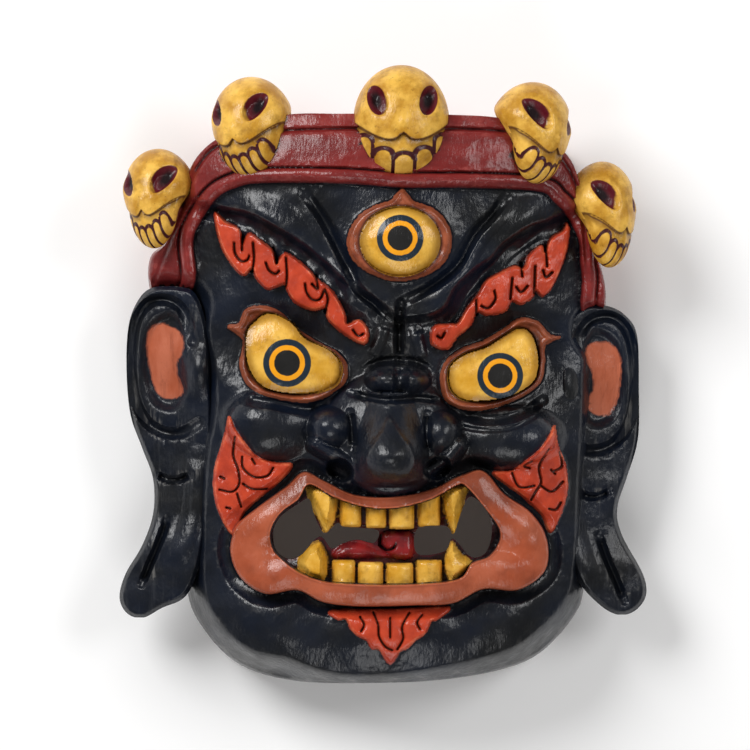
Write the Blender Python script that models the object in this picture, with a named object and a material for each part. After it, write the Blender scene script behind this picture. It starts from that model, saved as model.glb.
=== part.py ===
"""A wrathful guardian's dance mask, carved from one block of wood, lying face up on its rim.

Metres, +Z out of the face, +Y towards the crown. The carving is drawn on squared paper: the mask is
SQUARES_TALL squares tall, and a place on the paper is (squares from the left, squares from the top).
Heights of the carving are in rises: the mask is RISES of them deep.
"""

import bmesh
import bpy
import numpy as np
from mathutils import Matrix, Vector

MASK_HEIGHT = 0.4113
MASK_DEPTH = 0.138
WALL = 0.016
RIM_WIDTH = 0.017
VAULT_ROUNDING = 0.032
EAR_THICKNESS = 0.021
SIDE_DRAFT = 0.003

SQUARES_TALL = 617.0
RISES = 138.0
SQUARE = MASK_HEIGHT / SQUARES_TALL
RISE = MASK_DEPTH / RISES
MIDDLE = (383.0, 377.0)
HEAD_CENTRE = (386, 400)

# How finely each form is drawn, and how many triangles it keeps.
FACE_CELLS, FACE_TRIANGLES = 210, 5150
EAR_CELLS, EAR_TRIANGLES = (40, 100), 420
SKULL_CELLS, SKULL_TRIANGLES = (56, 40), 440
HOLLOW_CELLS = 15

# The outline of the head without ears and skulls, clockwise from the crown.
HEAD = (
    (395, 114), (450, 115), (505, 119), (545, 137), (571, 160), (584, 200), (596, 250), (605, 290),
    (602, 330), (590, 400), (586, 500), (584, 585), (573, 618), (540, 654), (500, 671), (440, 681),
    (370, 684), (295, 682), (240, 666), (205, 632), (187, 590), (186, 500), (184, 400), (166, 330),
    (150, 290), (150, 258), (166, 240), (178, 200), (196, 157), (230, 131), (285, 115), (340, 114),
)
BAND_INSIDE = (
    (150, 330), (192, 287), (192, 241), (199, 222), (215, 199), (234, 188), (262, 183), (345, 184),
    (402, 188), (470, 188), (538, 191), (554, 201), (569, 217), (580, 241), (583, 272), (600, 330),
    (760, 330), (760, 760), (20, 760), (20, 330),
)
BAND_TOP_GROOVE = (
    (152, 281), (170, 236), (186, 192), (196, 169), (215, 147), (250, 134), (300, 130), (400, 129),
    (500, 131), (540, 143), (562, 160), (578, 192), (586, 241), (589, 304),
)
FRONT_EDGE = (
    (120, 300), (198, 300), (213, 340), (219, 404), (210, 460), (206, 530), (207, 594), (226, 629),
    (253, 649), (288, 656), (322, 668), (357, 673), (400, 671), (439, 665), (506, 649), (542, 625),
    (562, 602), (571, 573), (576, 480), (580, 400), (582, 340), (588, 300), (660, 300), (660, 60),
    (120, 60),
)

BROW_PANEL = (
    (216, 206), (246, 213), (270, 225), (298, 242), (323, 262), (340, 277), (375, 302), (397, 318),
    (420, 318), (443, 310), (456, 288), (476, 270), (492, 258), (505, 244), (531, 227), (555, 218),
    (590, 190), (570, 120), (400, 110), (220, 120), (190, 190),
)
BROW_CREASE_LEFT = ((305, 193), (322, 217), (334, 240), (346, 264), (360, 291), (391, 316))
BROW_CREASE_RIGHT = ((505, 198), (490, 217), (476, 232), (466, 249), (455, 268), (431, 287), (403, 302))

THIRD_LID = (
    (402, 190), (391, 201), (374, 207), (357, 219), (348, 239), (353, 259), (372, 274), (400, 281),
    (428, 274), (446, 259), (451, 237), (443, 219), (430, 208), (413, 202),
)
THIRD_EYE = ((400, 242), (40, 35))

EYE_LEFT = (
    (246, 334), (256, 320), (270, 313), (291, 322), (305, 338), (326, 348), (337, 357), (342, 370),
    (334, 387), (301, 394), (265, 388), (248, 366),
)
LID_LEFT = (
    (227, 327), (239, 323), (245, 310), (260, 306), (279, 312), (298, 330), (319, 343), (340, 355),
    (347, 370), (340, 387), (307, 402), (256, 391), (240, 367), (243, 340),
)
EYE_RIGHT = (
    (448, 377), (451, 364), (465, 354), (486, 347), (505, 335), (520, 328), (532, 335), (538, 356),
    (536, 377), (523, 390), (500, 399), (468, 401), (452, 392),
)
LID_RIGHT = (
    (441, 379), (446, 362), (462, 349), (484, 341), (506, 328), (515, 321), (526, 318), (540, 323),
    (551, 335), (561, 337), (546, 345), (545, 361), (540, 383), (515, 400), (477, 410), (448, 402),
)

FLAME_BROW_LEFT = (
    (214, 212), (225, 221), (239, 229), (242, 243), (249, 233), (261, 241), (273, 251), (276, 264),
    (284, 253), (296, 259), (309, 270), (317, 279), (332, 291), (344, 312), (347, 324), (359, 320),
    (368, 331), (364, 344), (343, 333), (328, 319), (313, 310), (296, 303), (285, 289), (268, 289),
    (256, 276), (242, 275), (226, 256), (218, 236),
)
FLAME_BROW_RIGHT = (
    (567, 222), (563, 230), (551, 238), (545, 252), (541, 245), (529, 255), (524, 268), (514, 266),
    (499, 273), (486, 281), (478, 294), (467, 308), (458, 323), (449, 324), (433, 327), (432, 344),
    (447, 349), (458, 336), (470, 326), (488, 315), (510, 309), (521, 304), (534, 299), (543, 296),
    (553, 286), (565, 258), (570, 232),
)
# The middle of each lock's curled tip.
CURLS_LEFT = ((242, 253), (274, 267), (312, 292), (358, 330))
CURLS_RIGHT = ((547, 269), (521, 284), (488, 299), (441, 336))

CHEEK_FLAME_LEFT = (
    (228, 416), (223, 440), (215, 470), (213, 500), (231, 535), (242, 513), (264, 493), (290, 465),
    (262, 458), (244, 443),
)
CHEEK_FLAME_RIGHT = (
    (554, 425), (557, 446), (567, 470), (566, 500), (551, 532), (535, 510), (512, 491), (492, 470),
    (516, 466), (534, 450),
)
CHIN_FLAME = (
    (331, 611), (345, 620), (358, 636), (376, 648), (390, 664), (402, 649), (422, 634), (434, 620),
    (448, 608), (390, 609),
)

NOSE_DROP = (
    (389, 417), (380, 433), (368, 449), (365, 464), (374, 477), (390, 482), (406, 477), (415, 463),
    (411, 447), (399, 431),
)
NOSE_FOOT_LEFT = ((316, 443), (330, 452), (345, 460), (355, 470), (363, 482), (377, 489), (392, 491))
NOSE_FOOT_RIGHT = ((458, 444), (447, 457), (434, 466), (424, 476), (412, 486), (392, 491))

LIPS_OUTSIDE = (
    (304, 472), (286, 487), (257, 508), (237, 526), (230, 552), (241, 579), (266, 594), (297, 590),
    (323, 602), (360, 606), (416, 605), (453, 603), (483, 589), (518, 590), (545, 571), (547, 540),
    (531, 513), (504, 494), (483, 471), (460, 476), (430, 490), (393, 497), (355, 495), (324, 481),
)
LIPS_INSIDE = (
    (309, 484), (333, 496), (359, 505), (384, 508), (409, 505), (434, 497), (456, 485), (466, 486),
    (485, 508), (499, 528), (499, 543), (488, 557), (472, 563), (458, 579), (413, 584), (360, 584),
    (323, 581), (299, 572), (285, 562), (273, 550), (270, 532), (280, 513), (298, 499),
)
MOUTH_LEFT = (
    (309, 499), (298, 504), (280, 517), (273, 532), (275, 550), (286, 559), (300, 556), (319, 537),
    (331, 549), (342, 544), (357, 540), (374, 543), (377, 530), (345, 527), (337, 523), (324, 533),
    (314, 515),
)
MOUTH_RIGHT = (
    (417, 529), (445, 526), (453, 534), (460, 515), (469, 497), (482, 505), (491, 521), (491, 540),
    (484, 555), (470, 557), (453, 539), (444, 552), (417, 554),
)

GUM_TOP = (
    (306, 478), (388, 503), (468, 478), (470, 500), (440, 520), (388, 524), (338, 520), (306, 498),
)
GUM_FOOT = (
    (298, 580), (470, 580), (470, 566), (440, 565), (388, 568), (330, 566), (300, 566),
)
# Each flat tooth: its sides, top and foot.
TEETH = (
    (340, 361, 498, 527), (366, 386, 503, 529), (390, 414, 503, 529), (418, 440, 496, 527),
    (332, 355, 559, 583), (358, 382, 562, 585), (386, 413, 563, 585), (416, 442, 560, 583),
)
# Each fang: its tip and the two ends of its root.
FANGS = (
    ((324, 534), (308, 484), (336, 493)),
    ((453, 534), (442, 488), (469, 484)),
    ((319, 540), (297, 579), (329, 581)),
    ((453, 540), (443, 580), (472, 575)),
)
TONGUE = (
    (330, 555), (340, 543), (353, 539), (366, 541), (377, 546), (392, 549), (413, 545), (414, 561),
    (372, 563), (340, 563),
)
TONGUE_CURL = ((381, 532), (410, 531), (415, 545), (412, 559), (395, 560), (383, 548))

EAR_LEFT = (
    (150, 287), (178, 286), (196, 296), (208, 340), (212, 420), (208, 500), (200, 560), (185, 597),
    (160, 610), (141, 620), (125, 616), (117, 600), (123, 576), (140, 547), (151, 515), (151, 480),
    (140, 449), (128, 415), (124, 370), (126, 327), (135, 301),
)
EAR_RIGHT = (
    (584, 306), (607, 305), (626, 314), (639, 335), (641, 390), (640, 440), (629, 478), (619, 510),
    (624, 537), (645, 576), (648, 598), (637, 613), (620, 617), (600, 606), (578, 580), (568, 540),
    (562, 480), (560, 400), (564, 330),
)
# The hollow of the left ear; the right ear's is its mirror image, a little lower.
EAR_CHANNEL = (
    (192, 341), (185, 317), (174, 303), (158, 299), (144, 305), (134, 322), (130, 350), (130, 385),
    (136, 408), (147, 424), (163, 433), (181, 433), (198, 423),
)
EAR_BOWL = (
    (152, 322), (172, 314), (184, 330), (178, 352), (182, 392), (172, 408), (154, 402), (143, 375),
    (143, 345),
)

# The skulls: centre, height of the centre, half sizes, turn, lean, and how much the jaw narrows.
SKULLS = (
    ((159, 197), 56, (38, 50, 38), -30, 6, 0.3),
    ((253, 126), 80, (42, 50, 42), -31, 8, 0.16),
    ((401, 122), 92, (48, 57, 44), 3, 0, 0.0),
    ((529, 131), 82, (42, 50, 42), 46, -14, 0.3),
    ((600, 213), 62, (36, 53, 38), 46, -6, 0.3),
)
SKULL_EYE = (0.54, 0.36)
SKULL_MOUTH = ((0.0, 0.34, 0.65, 1.0), (-0.2, -0.32, -0.21, -0.1))
SKULL_TOOTH_GAPS = (-0.62, -0.26, 0.2, 0.6)


def place(across, down, rise=0.0):
    """A place on the paper, as metres."""
    return ((across - MIDDLE[0]) * SQUARE, (MIDDLE[1] - down) * SQUARE, rise * RISE)


# Curves and distances on the paper

def smooth(points, closed=True, steps=6):
    """A smooth line through the points."""
    knots = np.asarray(points, float)
    count = len(knots)
    line = []
    for i in range(count if closed else count - 1):
        if closed:
            a, b, c, d = (knots[(i + k) % count] for k in (-1, 0, 1, 2))
        else:
            b, c = knots[i], knots[i + 1]
            a = knots[max(i - 1, 0)]
            d = knots[min(i + 2, count - 1)]
        for t in np.arange(steps) / steps:
            bend = (2 * a - 5 * b + 4 * c - d) * t ** 2 + (3 * b - a - 3 * c + d) * t ** 3
            line.append(0.5 * (2 * b + (c - a) * t + bend))
    if not closed:
        line.append(knots[-1])
    return np.array(line)


def from_line(across, down, line, closed):
    """How far each place is from a line, and the share of the line before its nearest point."""
    starts = line if closed else line[:-1]
    ends = np.roll(line, -1, axis=0) if closed else line[1:]
    lengths = np.maximum(np.hypot(*(ends - starts).T), 1e-6)
    total = lengths.sum()
    before = 0.0
    nearest = np.full(across.shape, 1e6)
    share = np.zeros(across.shape)
    for (x0, y0), (x1, y1), length in zip(starts, ends, lengths):
        run = ((across - x0) * (x1 - x0) + (down - y0) * (y1 - y0)) / length ** 2
        run = np.clip(run, 0.0, 1.0)
        gap = np.hypot(across - x0 - run * (x1 - x0), down - y0 - run * (y1 - y0))
        closer = gap < nearest
        nearest[closer] = gap[closer]
        share[closer] = ((before + run * length) / total)[closer]
        before += length
    return nearest, share


def within(across, down, line):
    """Whether each place is inside a closed line."""
    inside = np.zeros(across.shape, bool)
    for (x0, y0), (x1, y1) in zip(line, np.roll(line, -1, axis=0)):
        if y0 != y1:
            crosses = (y0 > down) != (y1 > down)
            inside ^= crosses & (across < (x1 - x0) * (down - y0) / (y1 - y0) + x0)
    return inside


def ease(t):
    t = np.clip(t, 0.0, 1.0)
    return t * t * (3.0 - 2.0 * t)


def higher(a, b, blend):
    """The higher of two surfaces, with a soft join."""
    mix = np.clip(0.5 + 0.5 * (a - b) / blend, 0.0, 1.0)
    return b + (a - b) * mix + blend * mix * (1.0 - mix)


class Relief:
    """Heights, in rises, over places on the paper, cut and raised step by step."""

    def __init__(self, across, down):
        self.across = across
        self.down = down
        self.height = np.zeros(across.shape)

    def near(self, line, reach):
        low, high = line.min(axis=0) - reach, line.max(axis=0) + reach
        level = (self.across > low[0]) & (self.across < high[0])
        return level & (self.down > low[1]) & (self.down < high[1])

    def beyond(self, points, reach=60.0):
        """How far each place is outside an outline; less than 0 is inside."""
        line = smooth(points)
        outside = np.full(self.across.shape, reach)
        near = self.near(line, reach)
        gap, _ = from_line(self.across[near], self.down[near], line, True)
        inside = within(self.across[near], self.down[near], line)
        outside[near] = np.where(inside, -gap, gap)
        return outside

    def raise_inside(self, points, rise, slope):
        """Lifts what is inside an outline, with sides that many squares wide."""
        self.height += rise * ease(0.5 - self.beyond(points) / slope)

    def cap(self, centre, radii, top, rise, turn=0.0, blend=3.0):
        """Joins on a rounded form: the top of an ellipsoid that stands rise proud and ends at top."""
        round_out = self.rounding(centre, radii, turn)
        shape = np.where(round_out < 1, np.sqrt(np.clip(1 - round_out, 0, 1)), 1.5 * (1 - round_out))
        near = round_out < 2.4
        self.height[near] = higher(self.height, top - rise + rise * shape, blend)[near]

    def swell(self, centre, radii, rise, turn=0.0):
        """Adds a soft swelling, or a hollow where rise is less than 0."""
        self.height += rise * np.clip(1 - self.rounding(centre, radii, turn), 0, 1) ** 2

    def rounding(self, centre, radii, turn=0.0):
        """0 at the centre of an ellipse and 1 on its edge."""
        angle = np.radians(turn)
        right = self.across - centre[0]
        below = self.down - centre[1]
        along = (right * np.cos(angle) + below * np.sin(angle)) / radii[0]
        athwart = (below * np.cos(angle) - right * np.sin(angle)) / radii[1]
        return along ** 2 + athwart ** 2

    def groove(self, points, width, depth):
        """Cuts a rounded groove, of that half width, along a line."""
        line = smooth(points, False)
        near = self.near(line, width)
        gap, share = from_line(self.across[near], self.down[near], line, False)
        fade = np.clip(8 * np.minimum(share, 1 - share), 0.3, 1)
        self.height[near] -= depth * fade * np.clip(1 - (gap / width) ** 2, 0, 1)

    def ridge(self, points, width, rise):
        """Raises a rounded ridge along a line."""
        self.groove(points, width, -rise)


# The face's carving

def head_form(across, down):
    """The plain block under the carving, in rises."""
    side = np.abs(across - 388) / 239
    crown = np.clip((190 - down) / 76, 0, 1.2)
    jaw = np.clip((down - 560) / 120, 0, 1)
    return 92 - 54 * side ** 2.4 - 9 * crown ** 2 - 8 * jaw ** 2


def carve_band(face):
    outside = face.beyond(BAND_INSIDE)
    face.height += 8 * ease(0.5 + outside / 5)
    inner_roll = np.clip(1 - (outside - 15) ** 2 / 6, 0, 1)
    face.height -= 2.5 * inner_roll * (face.down < 315)
    face.groove(BAND_TOP_GROOVE, 4, 3)


def carve_jaw_sides(face):
    outside = face.beyond(FRONT_EDGE)
    face.height -= 30 * ease(outside / 26)
    face.swell((173, 306), (44, 40), -28)
    face.swell((597, 330), (30, 34), -22)


def carve_forehead(face):
    face.raise_inside(BROW_PANEL, 8, 8)
    face.swell((275, 222), (58, 26), 5, 28)
    face.swell((345, 290), (56, 22), 7, 42)
    face.swell((525, 218), (52, 26), 5, -32)
    face.swell((446, 300), (52, 22), 6, -50)
    face.swell((400, 245), (75, 90), 7)
    for crease in (BROW_CREASE_LEFT, BROW_CREASE_RIGHT):
        face.groove(crease, 9, 7)
    face.groove(((400, 306), (399, 330), (399, 356)), 8, 8)


def carve_third_eye(face):
    face.raise_inside(THIRD_LID, 6, 6)
    centre, radii = THIRD_EYE
    inside = face.rounding(centre, radii)
    face.height -= 6 * ease((1.03 - inside) / 0.1)
    ball = 105 + 12 * np.sqrt(np.clip(1 - inside / 1.1, 0, 1))
    face.height = np.where(inside < 1, np.maximum(face.height, ball), face.height)


def carve_eye(face, eye, lid, ball, socket):
    """One eye: a wide hollow, a raised lid and a bulging ball inside it."""
    face.swell(socket, (88, 62), -13, 12 if socket[0] < 388 else -12)
    face.raise_inside(lid, 8, 6)
    sunk = face.beyond(eye)
    face.height -= 6 * ease(0.5 - sunk / 3)
    centre, radii, top = ball
    bulge = top - 16 + 16 * np.sqrt(np.clip(1 - face.rounding(centre, radii), 0, 1))
    face.height = np.where(sunk < -0.5, np.maximum(face.height, bulge), face.height)


def carve_flame_brow(face, outline, curls, side):
    face.raise_inside(outline, 11, 5)
    for x, y in curls:
        turn = np.radians(np.arange(-10, 200, 35))
        hook = [(x + side * 8 * np.cos(a), y + 10 * np.sin(a)) for a in turn]
        face.groove(hook, 3, 4)


def carve_cheeks(face):
    face.cap((274, 425), (48, 36), 98, 22, 8, blend=8)
    face.cap((504, 438), (52, 32), 100, 22, -4, blend=8)
    face.swell((250, 480), (50, 60), 5)
    face.swell((530, 480), (50, 60), 5)
    face.groove(((243, 400), (270, 404), (305, 410), (322, 405)), 6, 5)
    face.groove(((455, 411), (485, 420), (520, 415), (543, 400)), 6, 5)


def carve_nose(face):
    face.cap((388, 440), (68, 70), 110, 28, blend=12)
    beside = np.abs(face.across - 390)
    run = np.clip((face.down - 392) / 98, 0, 1)
    half = 27 + 13 * ease(run / 0.6)
    crest = 112 + 24.6 * ease(run / 0.72)
    foot = np.sqrt(1 - np.clip((run - 0.6) / 0.4, 0, 1) ** 2)
    body = 84 + (crest - 84) * np.sqrt(np.clip(1 - (beside / half) ** 2, 0, 1)) * foot
    on_nose = (run > 0) & (run < 1) & (beside < half)
    face.height = np.where(on_nose, higher(face.height, body, 7), face.height)
    face.height += 2.2 * ease(0.5 - face.beyond(NOSE_DROP) / 5)
    face.cap((397, 381), (33, 17), 114, 24, blend=4)
    face.swell((381, 379), (19, 17), 5)
    face.swell((414, 379), (19, 17), 5)
    face.groove(((399, 368), (400, 381), (399, 394)), 7, 3)
    face.groove(((350, 393), (372, 398), (396, 400), (420, 398), (442, 402)), 4.5, 5)
    face.groove(((364, 368), (380, 361), (400, 359), (418, 362), (430, 369)), 4, 3)
    face.cap((330, 428), (22, 21), 112, 21, blend=5)
    face.cap((441, 433), (20, 23), 112, 21, blend=5)
    face.groove(((350, 412), (352, 430), (353, 446)), 5, 5)
    face.groove(((427, 414), (427, 432), (428, 450)), 5, 5)
    face.ridge(NOSE_FOOT_LEFT, 7, 8)
    face.ridge(NOSE_FOOT_RIGHT, 7, 6)
    for centre, turn in (((340, 470), 30), ((437, 468), -30)):
        hole = face.rounding(centre, (14, 11), turn)
        face.height -= 12 * ease((1.25 - hole) / 0.8)


def carve_lips(face):
    outside = face.beyond(LIPS_OUTSIDE)
    inside = face.beyond(LIPS_INSIDE)
    face.height -= 5 * np.clip(1 - (np.maximum(outside, 0) / 16) ** 2, 0, 1) * (outside > 0)
    lip_level = 100 - 17 * (np.abs(face.across - 388) / 160) ** 2
    roll = 8 * np.clip(1 - ((outside + 16) / 17) ** 2, 0, 1)
    lips = lip_level + roll
    share = ease(0.5 - outside / 5)
    face.height = face.height * (1 - share) + lips * share
    face.height = np.where(inside < 0, face.height - 18 * ease(-inside / 4), face.height)


def carve_teeth(face):
    """Four flat teeth and two fangs in each jaw, with gums between them."""
    arch = 98 - 13 * (np.abs(face.across - 388) / 90) ** 2
    inside = face.beyond(LIPS_INSIDE)
    for outline in (GUM_TOP, GUM_FOOT):
        gum = (face.beyond(outline) < 0) & (inside < 1)
        face.height = np.where(gum, np.maximum(face.height, arch - 6), face.height)
    for left, right, top, foot in TEETH:
        middle, half = (left + right) / 2, (right - left) / 2
        level, depth = (top + foot) / 2, (foot - top) / 2
        beside = np.abs(face.across - middle) / half
        outside = np.maximum(beside, np.abs(face.down - level) / depth)
        crown = arch + 2 - 4 * beside ** 2
        face.height = np.where(outside < 1, np.maximum(face.height, crown), face.height)
    for corners in FANGS:
        edge = face.beyond(fang_outline(corners))
        crown = arch + 4 + np.clip(-edge, 0, 7) * 0.8
        face.height = np.where(edge < 0, np.maximum(face.height, crown), face.height)


def fang_outline(corners):
    """A triangle with points along its sides, so that its smooth line stays nearly straight."""
    ends = [np.array(corner, float) for corner in corners]
    return [a * (1 - t) + b * t for a, b in zip(ends, ends[1:] + ends[:1]) for t in np.arange(4) / 4]


def carve_tongue(face):
    lying = face.beyond(TONGUE)
    curl = face.beyond(TONGUE_CURL)
    body = 80 + np.clip(-lying, 0, 6)
    flap = 84 + np.clip(-curl, 0, 6)
    face.height = np.where(lying < 0, np.maximum(face.height, body), face.height)
    face.height = np.where(curl < 0, np.maximum(face.height, flap), face.height)


def carve_small_flames(face):
    for outline in (CHEEK_FLAME_LEFT, CHEEK_FLAME_RIGHT, CHIN_FLAME):
        face.raise_inside(outline, 4, 4)
    for side, x, y in ((1, 254, 464), (-1, 526, 470)):
        turn = np.radians(np.arange(0, 200, 35))
        face.groove([(x - side * 13 * np.cos(a), y + 12 * np.sin(a)) for a in turn], 3, 3)
        wave = [(x - side * (20 - 9 * np.sin(k / 2)), y - 30 + 11 * k) for k in range(6)]
        face.groove(wave, 3, 3)
    for side in (-1, 1):
        wave = [(390.5 + side * (18 - 3.6 * k + 2 * np.sin(k * 1.6)), 612 + 9.5 * k) for k in range(5)]
        face.groove(wave, 3, 3)
    face.groove(((390, 618), (390, 628), (390, 637)), 4, 3)


def carve_chin(face):
    face.swell((388, 640), (120, 46), 7)
    face.swell((262, 622), (60, 38), 6, 30)
    face.swell((512, 622), (60, 38), 6, -30)


def face_heights(across, down):
    face = Relief(across, down)
    face.height = head_form(across, down)
    carve_jaw_sides(face)
    carve_chin(face)
    carve_forehead(face)
    carve_band(face)
    carve_third_eye(face)
    carve_cheeks(face)
    carve_eye(face, EYE_LEFT, LID_LEFT, ((291, 358), (66, 52), 98), (285, 352))
    carve_eye(face, EYE_RIGHT, LID_RIGHT, ((499, 371), (66, 52), 99), (503, 362))
    carve_flame_brow(face, FLAME_BROW_LEFT, CURLS_LEFT, -1)
    carve_flame_brow(face, FLAME_BROW_RIGHT, CURLS_RIGHT, 1)
    carve_nose(face)
    carve_lips(face)
    carve_teeth(face)
    carve_tongue(face)
    carve_small_flames(face)
    return face.height


def ear_heights(side):
    """The carving of one ear; side is -1 on the left of the paper and 1 on its right."""
    shift = 0 if side < 0 else 17

    def heights(across, down):
        ear = Relief(across, down)
        outer = 117 if side < 0 else 648
        ear.height = 38 + 20 * np.clip(np.abs(across - outer) / 90, 0, 1)
        ear.height += 5 * ease((np.abs(down - 450 - shift) - 60) / 40)
        rim = ear.beyond(EAR_LEFT if side < 0 else EAR_RIGHT)
        ear.height -= 5 * ease((rim + 5) / 6)
        mirrored = across if side < 0 else 766 - across
        bowl = Relief(mirrored, down - shift)
        bowl.raise_inside(EAR_BOWL, -6, 12)
        bowl.groove(EAR_CHANNEL, 6.5, 8)
        bowl.swell((197, 374), (20, 34), 9)
        bowl.groove(((155, 475), (163, 479), (172, 481), (181, 479), (189, 476)), 4.5, 6)
        bowl.groove(((166, 520), (157, 545), (148, 566), (140, 586)), 5, 7)
        bowl.ridge(((196, 455), (191, 511), (183, 542), (172, 568)), 12, 3)
        return ear.height + bowl.height

    return heights


# Solids

def new_object(name, mesh, collection):
    obj = bpy.data.objects.new(name, mesh)
    collection.objects.link(obj)
    return obj


def finish_mesh(name, form, collection, triangles=None):
    """The form as an object that keeps only so many triangles."""
    mesh = bpy.data.meshes.new(name)
    bmesh.ops.recalc_face_normals(form, faces=form.faces[:])
    drawn = sum(len(face.verts) - 2 for face in form.faces)
    form.to_mesh(mesh)
    form.free()
    obj = new_object(name, mesh, collection)
    if triangles:
        fewer = obj.modifiers.new("fewer faces", "DECIMATE")
        fewer.ratio = min(triangles / drawn, 1.0)
    return obj


def edge_reach(outline, centre, angles):
    """How far an outline is from a centre in each direction."""
    line = smooth(outline) - np.array(centre)
    turn = np.arctan2(line[:, 1], line[:, 0])
    order = np.argsort(turn)
    return np.interp(angles, turn[order], np.hypot(*line.T)[order], period=2 * np.pi)


def grid(columns, rows):
    """A flat grid from -1 to 1, and its points."""
    form = bmesh.new()
    bmesh.ops.create_grid(form, x_segments=columns, y_segments=rows, size=1.0)
    return form, np.array([vert.co[:2] for vert in form.verts])


def raise_grid(form, across, down, rises):
    points = np.column_stack(place(across, down, rises))
    for vert, point in zip(form.verts, points):
        vert.co = point


def carved_block(name, outline, cells, heights, foot, draft, collection, triangles=None):
    """A grid stretched to an outline and raised to heights, with sides down to its foot."""
    form, flat = grid(cells, cells)
    reach = np.abs(flat).max(axis=1)
    angles = np.arctan2(-flat[:, 1], flat[:, 0])
    radius = reach * edge_reach(outline, HEAD_CENTRE, angles)
    across = HEAD_CENTRE[0] + radius * np.cos(angles)
    down = HEAD_CENTRE[1] + radius * np.sin(angles)
    raise_grid(form, across, down, heights(across, down))
    add_sides(form, lambda point: foot, draft, place(*HEAD_CENTRE))
    return finish_mesh(name, form, collection, triangles)


def add_sides(form, foot, draft, centre):
    """Carries the open edge of a carved sheet down to its foot and closes it underneath."""
    rim = [edge for edge in form.edges if edge.is_boundary]
    made = bmesh.ops.extrude_edge_only(form, edges=rim)["geom"]
    for vert in (item for item in made if isinstance(item, bmesh.types.BMVert)):
        outward = Vector((vert.co.x - centre[0], vert.co.y - centre[1], 0)).normalized()
        vert.co += outward * draft
        vert.co.z = foot(vert.co)
    rim = [edge for edge in form.edges if edge.is_boundary]
    bmesh.ops.contextual_create(form, geom=rim)


def ear_block(name, outline, heights, collection):
    """A grid whose rows run from the ear's outer edge to its root in the head."""
    line = smooth(outline)
    form, flat = grid(*EAR_CELLS)
    top, foot = line[:, 1].min() + 0.5, line[:, 1].max() - 0.5
    down = top + (foot - top) * 0.5 * (1 - np.sin(flat[:, 1] * np.pi / 2))
    left, right = np.empty(len(down)), np.empty(len(down))
    for level in np.unique(down):
        crossings = row_crossings(line, level)
        left[down == level] = crossings[0]
        right[down == level] = crossings[-1]
    across = left + (right - left) * 0.5 * (1 + flat[:, 0])
    raise_grid(form, across, down, heights(across, down))

    def back(point):
        leaning = 38 + 20 * (265 - min(abs(point.x) / SQUARE, 175)) / 90
        return leaning * RISE - EAR_THICKNESS

    add_sides(form, back, 0.0, place(*line.mean(axis=0)))
    return finish_mesh(name, form, collection, EAR_TRIANGLES)


def row_crossings(line, level):
    found = []
    for (x0, y0), (x1, y1) in zip(line, np.roll(line, -1, axis=0)):
        if (y0 > level) != (y1 > level):
            found.append(x0 + (x1 - x0) * (level - y0) / (y1 - y0))
    return sorted(found)


def skull_jaw(y, narrow):
    """The shares of its width and depth that a skull keeps at a level, and how far it stands forward."""
    drawn_in = narrow * ease((0.35 - y) / 0.7)
    return 1 - drawn_in, 1 - 1.2 * drawn_in, 1.3 * drawn_in + 0.12 * ease((0.1 - y) / 1.1)


def skull_depth(x, y, narrow):
    """How deep a skull's ball is cut at a place on its front, as a share of its size."""
    depth = 0.0
    for side in (-1, 1):
        lean = side * (0.15 + 0.6 * narrow) * (y - SKULL_EYE[1])
        beside = (x - side * SKULL_EYE[0] - lean) / (0.19 + 0.2 * narrow)
        hole = beside ** 2 + ((y - SKULL_EYE[1]) / 0.29) ** 2
        depth += 0.2 * ease((1.25 - hole) / 0.5)
    mouth = np.interp(np.abs(x), *SKULL_MOUTH)
    depth += 0.05 * ease((mouth - y) / 0.05) + 0.04 * ease(1 - np.abs(y - mouth) / 0.07)
    for gap in SKULL_TOOTH_GAPS:
        depth += 0.05 * ease(1 - np.abs(x - gap) / 0.07) * ease((mouth - 0.15 - y) / 0.1)
    return depth


def skull(name, centre, rise, radii, turn, lean, narrow, collection):
    """A small skull: a ball with sunk eyes, a mouth line and teeth, and its jaw pushed forward."""
    form = bmesh.new()
    around, rings = SKULL_CELLS
    bmesh.ops.create_uvsphere(form, u_segments=around, v_segments=rings, radius=1.0)
    bmesh.ops.rotate(form, matrix=Matrix.Rotation(np.pi / 2, 3, "X"), verts=form.verts)
    for vert in form.verts:
        x, y, z = vert.co
        width, thickness, forward = skull_jaw(y, narrow)
        cut = skull_depth(x, y, narrow) * float(ease(z / 0.2)) if z > 0 else 0.0
        vert.co = Vector((x * width, y, z * thickness)) * (1 - cut)
        vert.co.z += float(forward)
    bmesh.ops.scale(form, vec=Vector(radii) * SQUARE, verts=form.verts)
    lean_over = Matrix.Rotation(np.radians(lean), 3, "Z")
    face_out = Matrix.Rotation(np.radians(turn), 3, "Y")
    bmesh.ops.rotate(form, matrix=lean_over @ face_out, verts=form.verts)
    bmesh.ops.translate(form, vec=place(*centre, rise), verts=form.verts)
    return finish_mesh(name, form, collection, SKULL_TRIANGLES)


def cut_through(name, outline, collection):
    """A cutter that passes through the mask along Z."""
    drawing = bpy.data.curves.new(name, "CURVE")
    drawing.dimensions = "2D"
    drawing.fill_mode = "BOTH"
    drawing.extrude = 2 * MASK_DEPTH
    line = smooth(outline, steps=2)
    spline = drawing.splines.new("POLY")
    spline.points.add(len(line) - 1)
    for point, (x, y) in zip(spline.points, line):
        point.co = (*place(x, y)[:2], 0, 1)
    spline.use_cyclic_u = True
    drawn = new_object(name, drawing, collection)
    bpy.context.view_layer.update()
    graph = bpy.context.evaluated_depsgraph_get()
    mesh = bpy.data.meshes.new_from_object(drawn.evaluated_get(graph))
    bpy.data.objects.remove(drawn)
    form = bmesh.new()
    form.from_mesh(mesh)
    bmesh.ops.remove_doubles(form, verts=form.verts, dist=1e-6)
    bpy.data.meshes.remove(mesh)
    return finish_mesh(name, form, collection)


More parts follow.
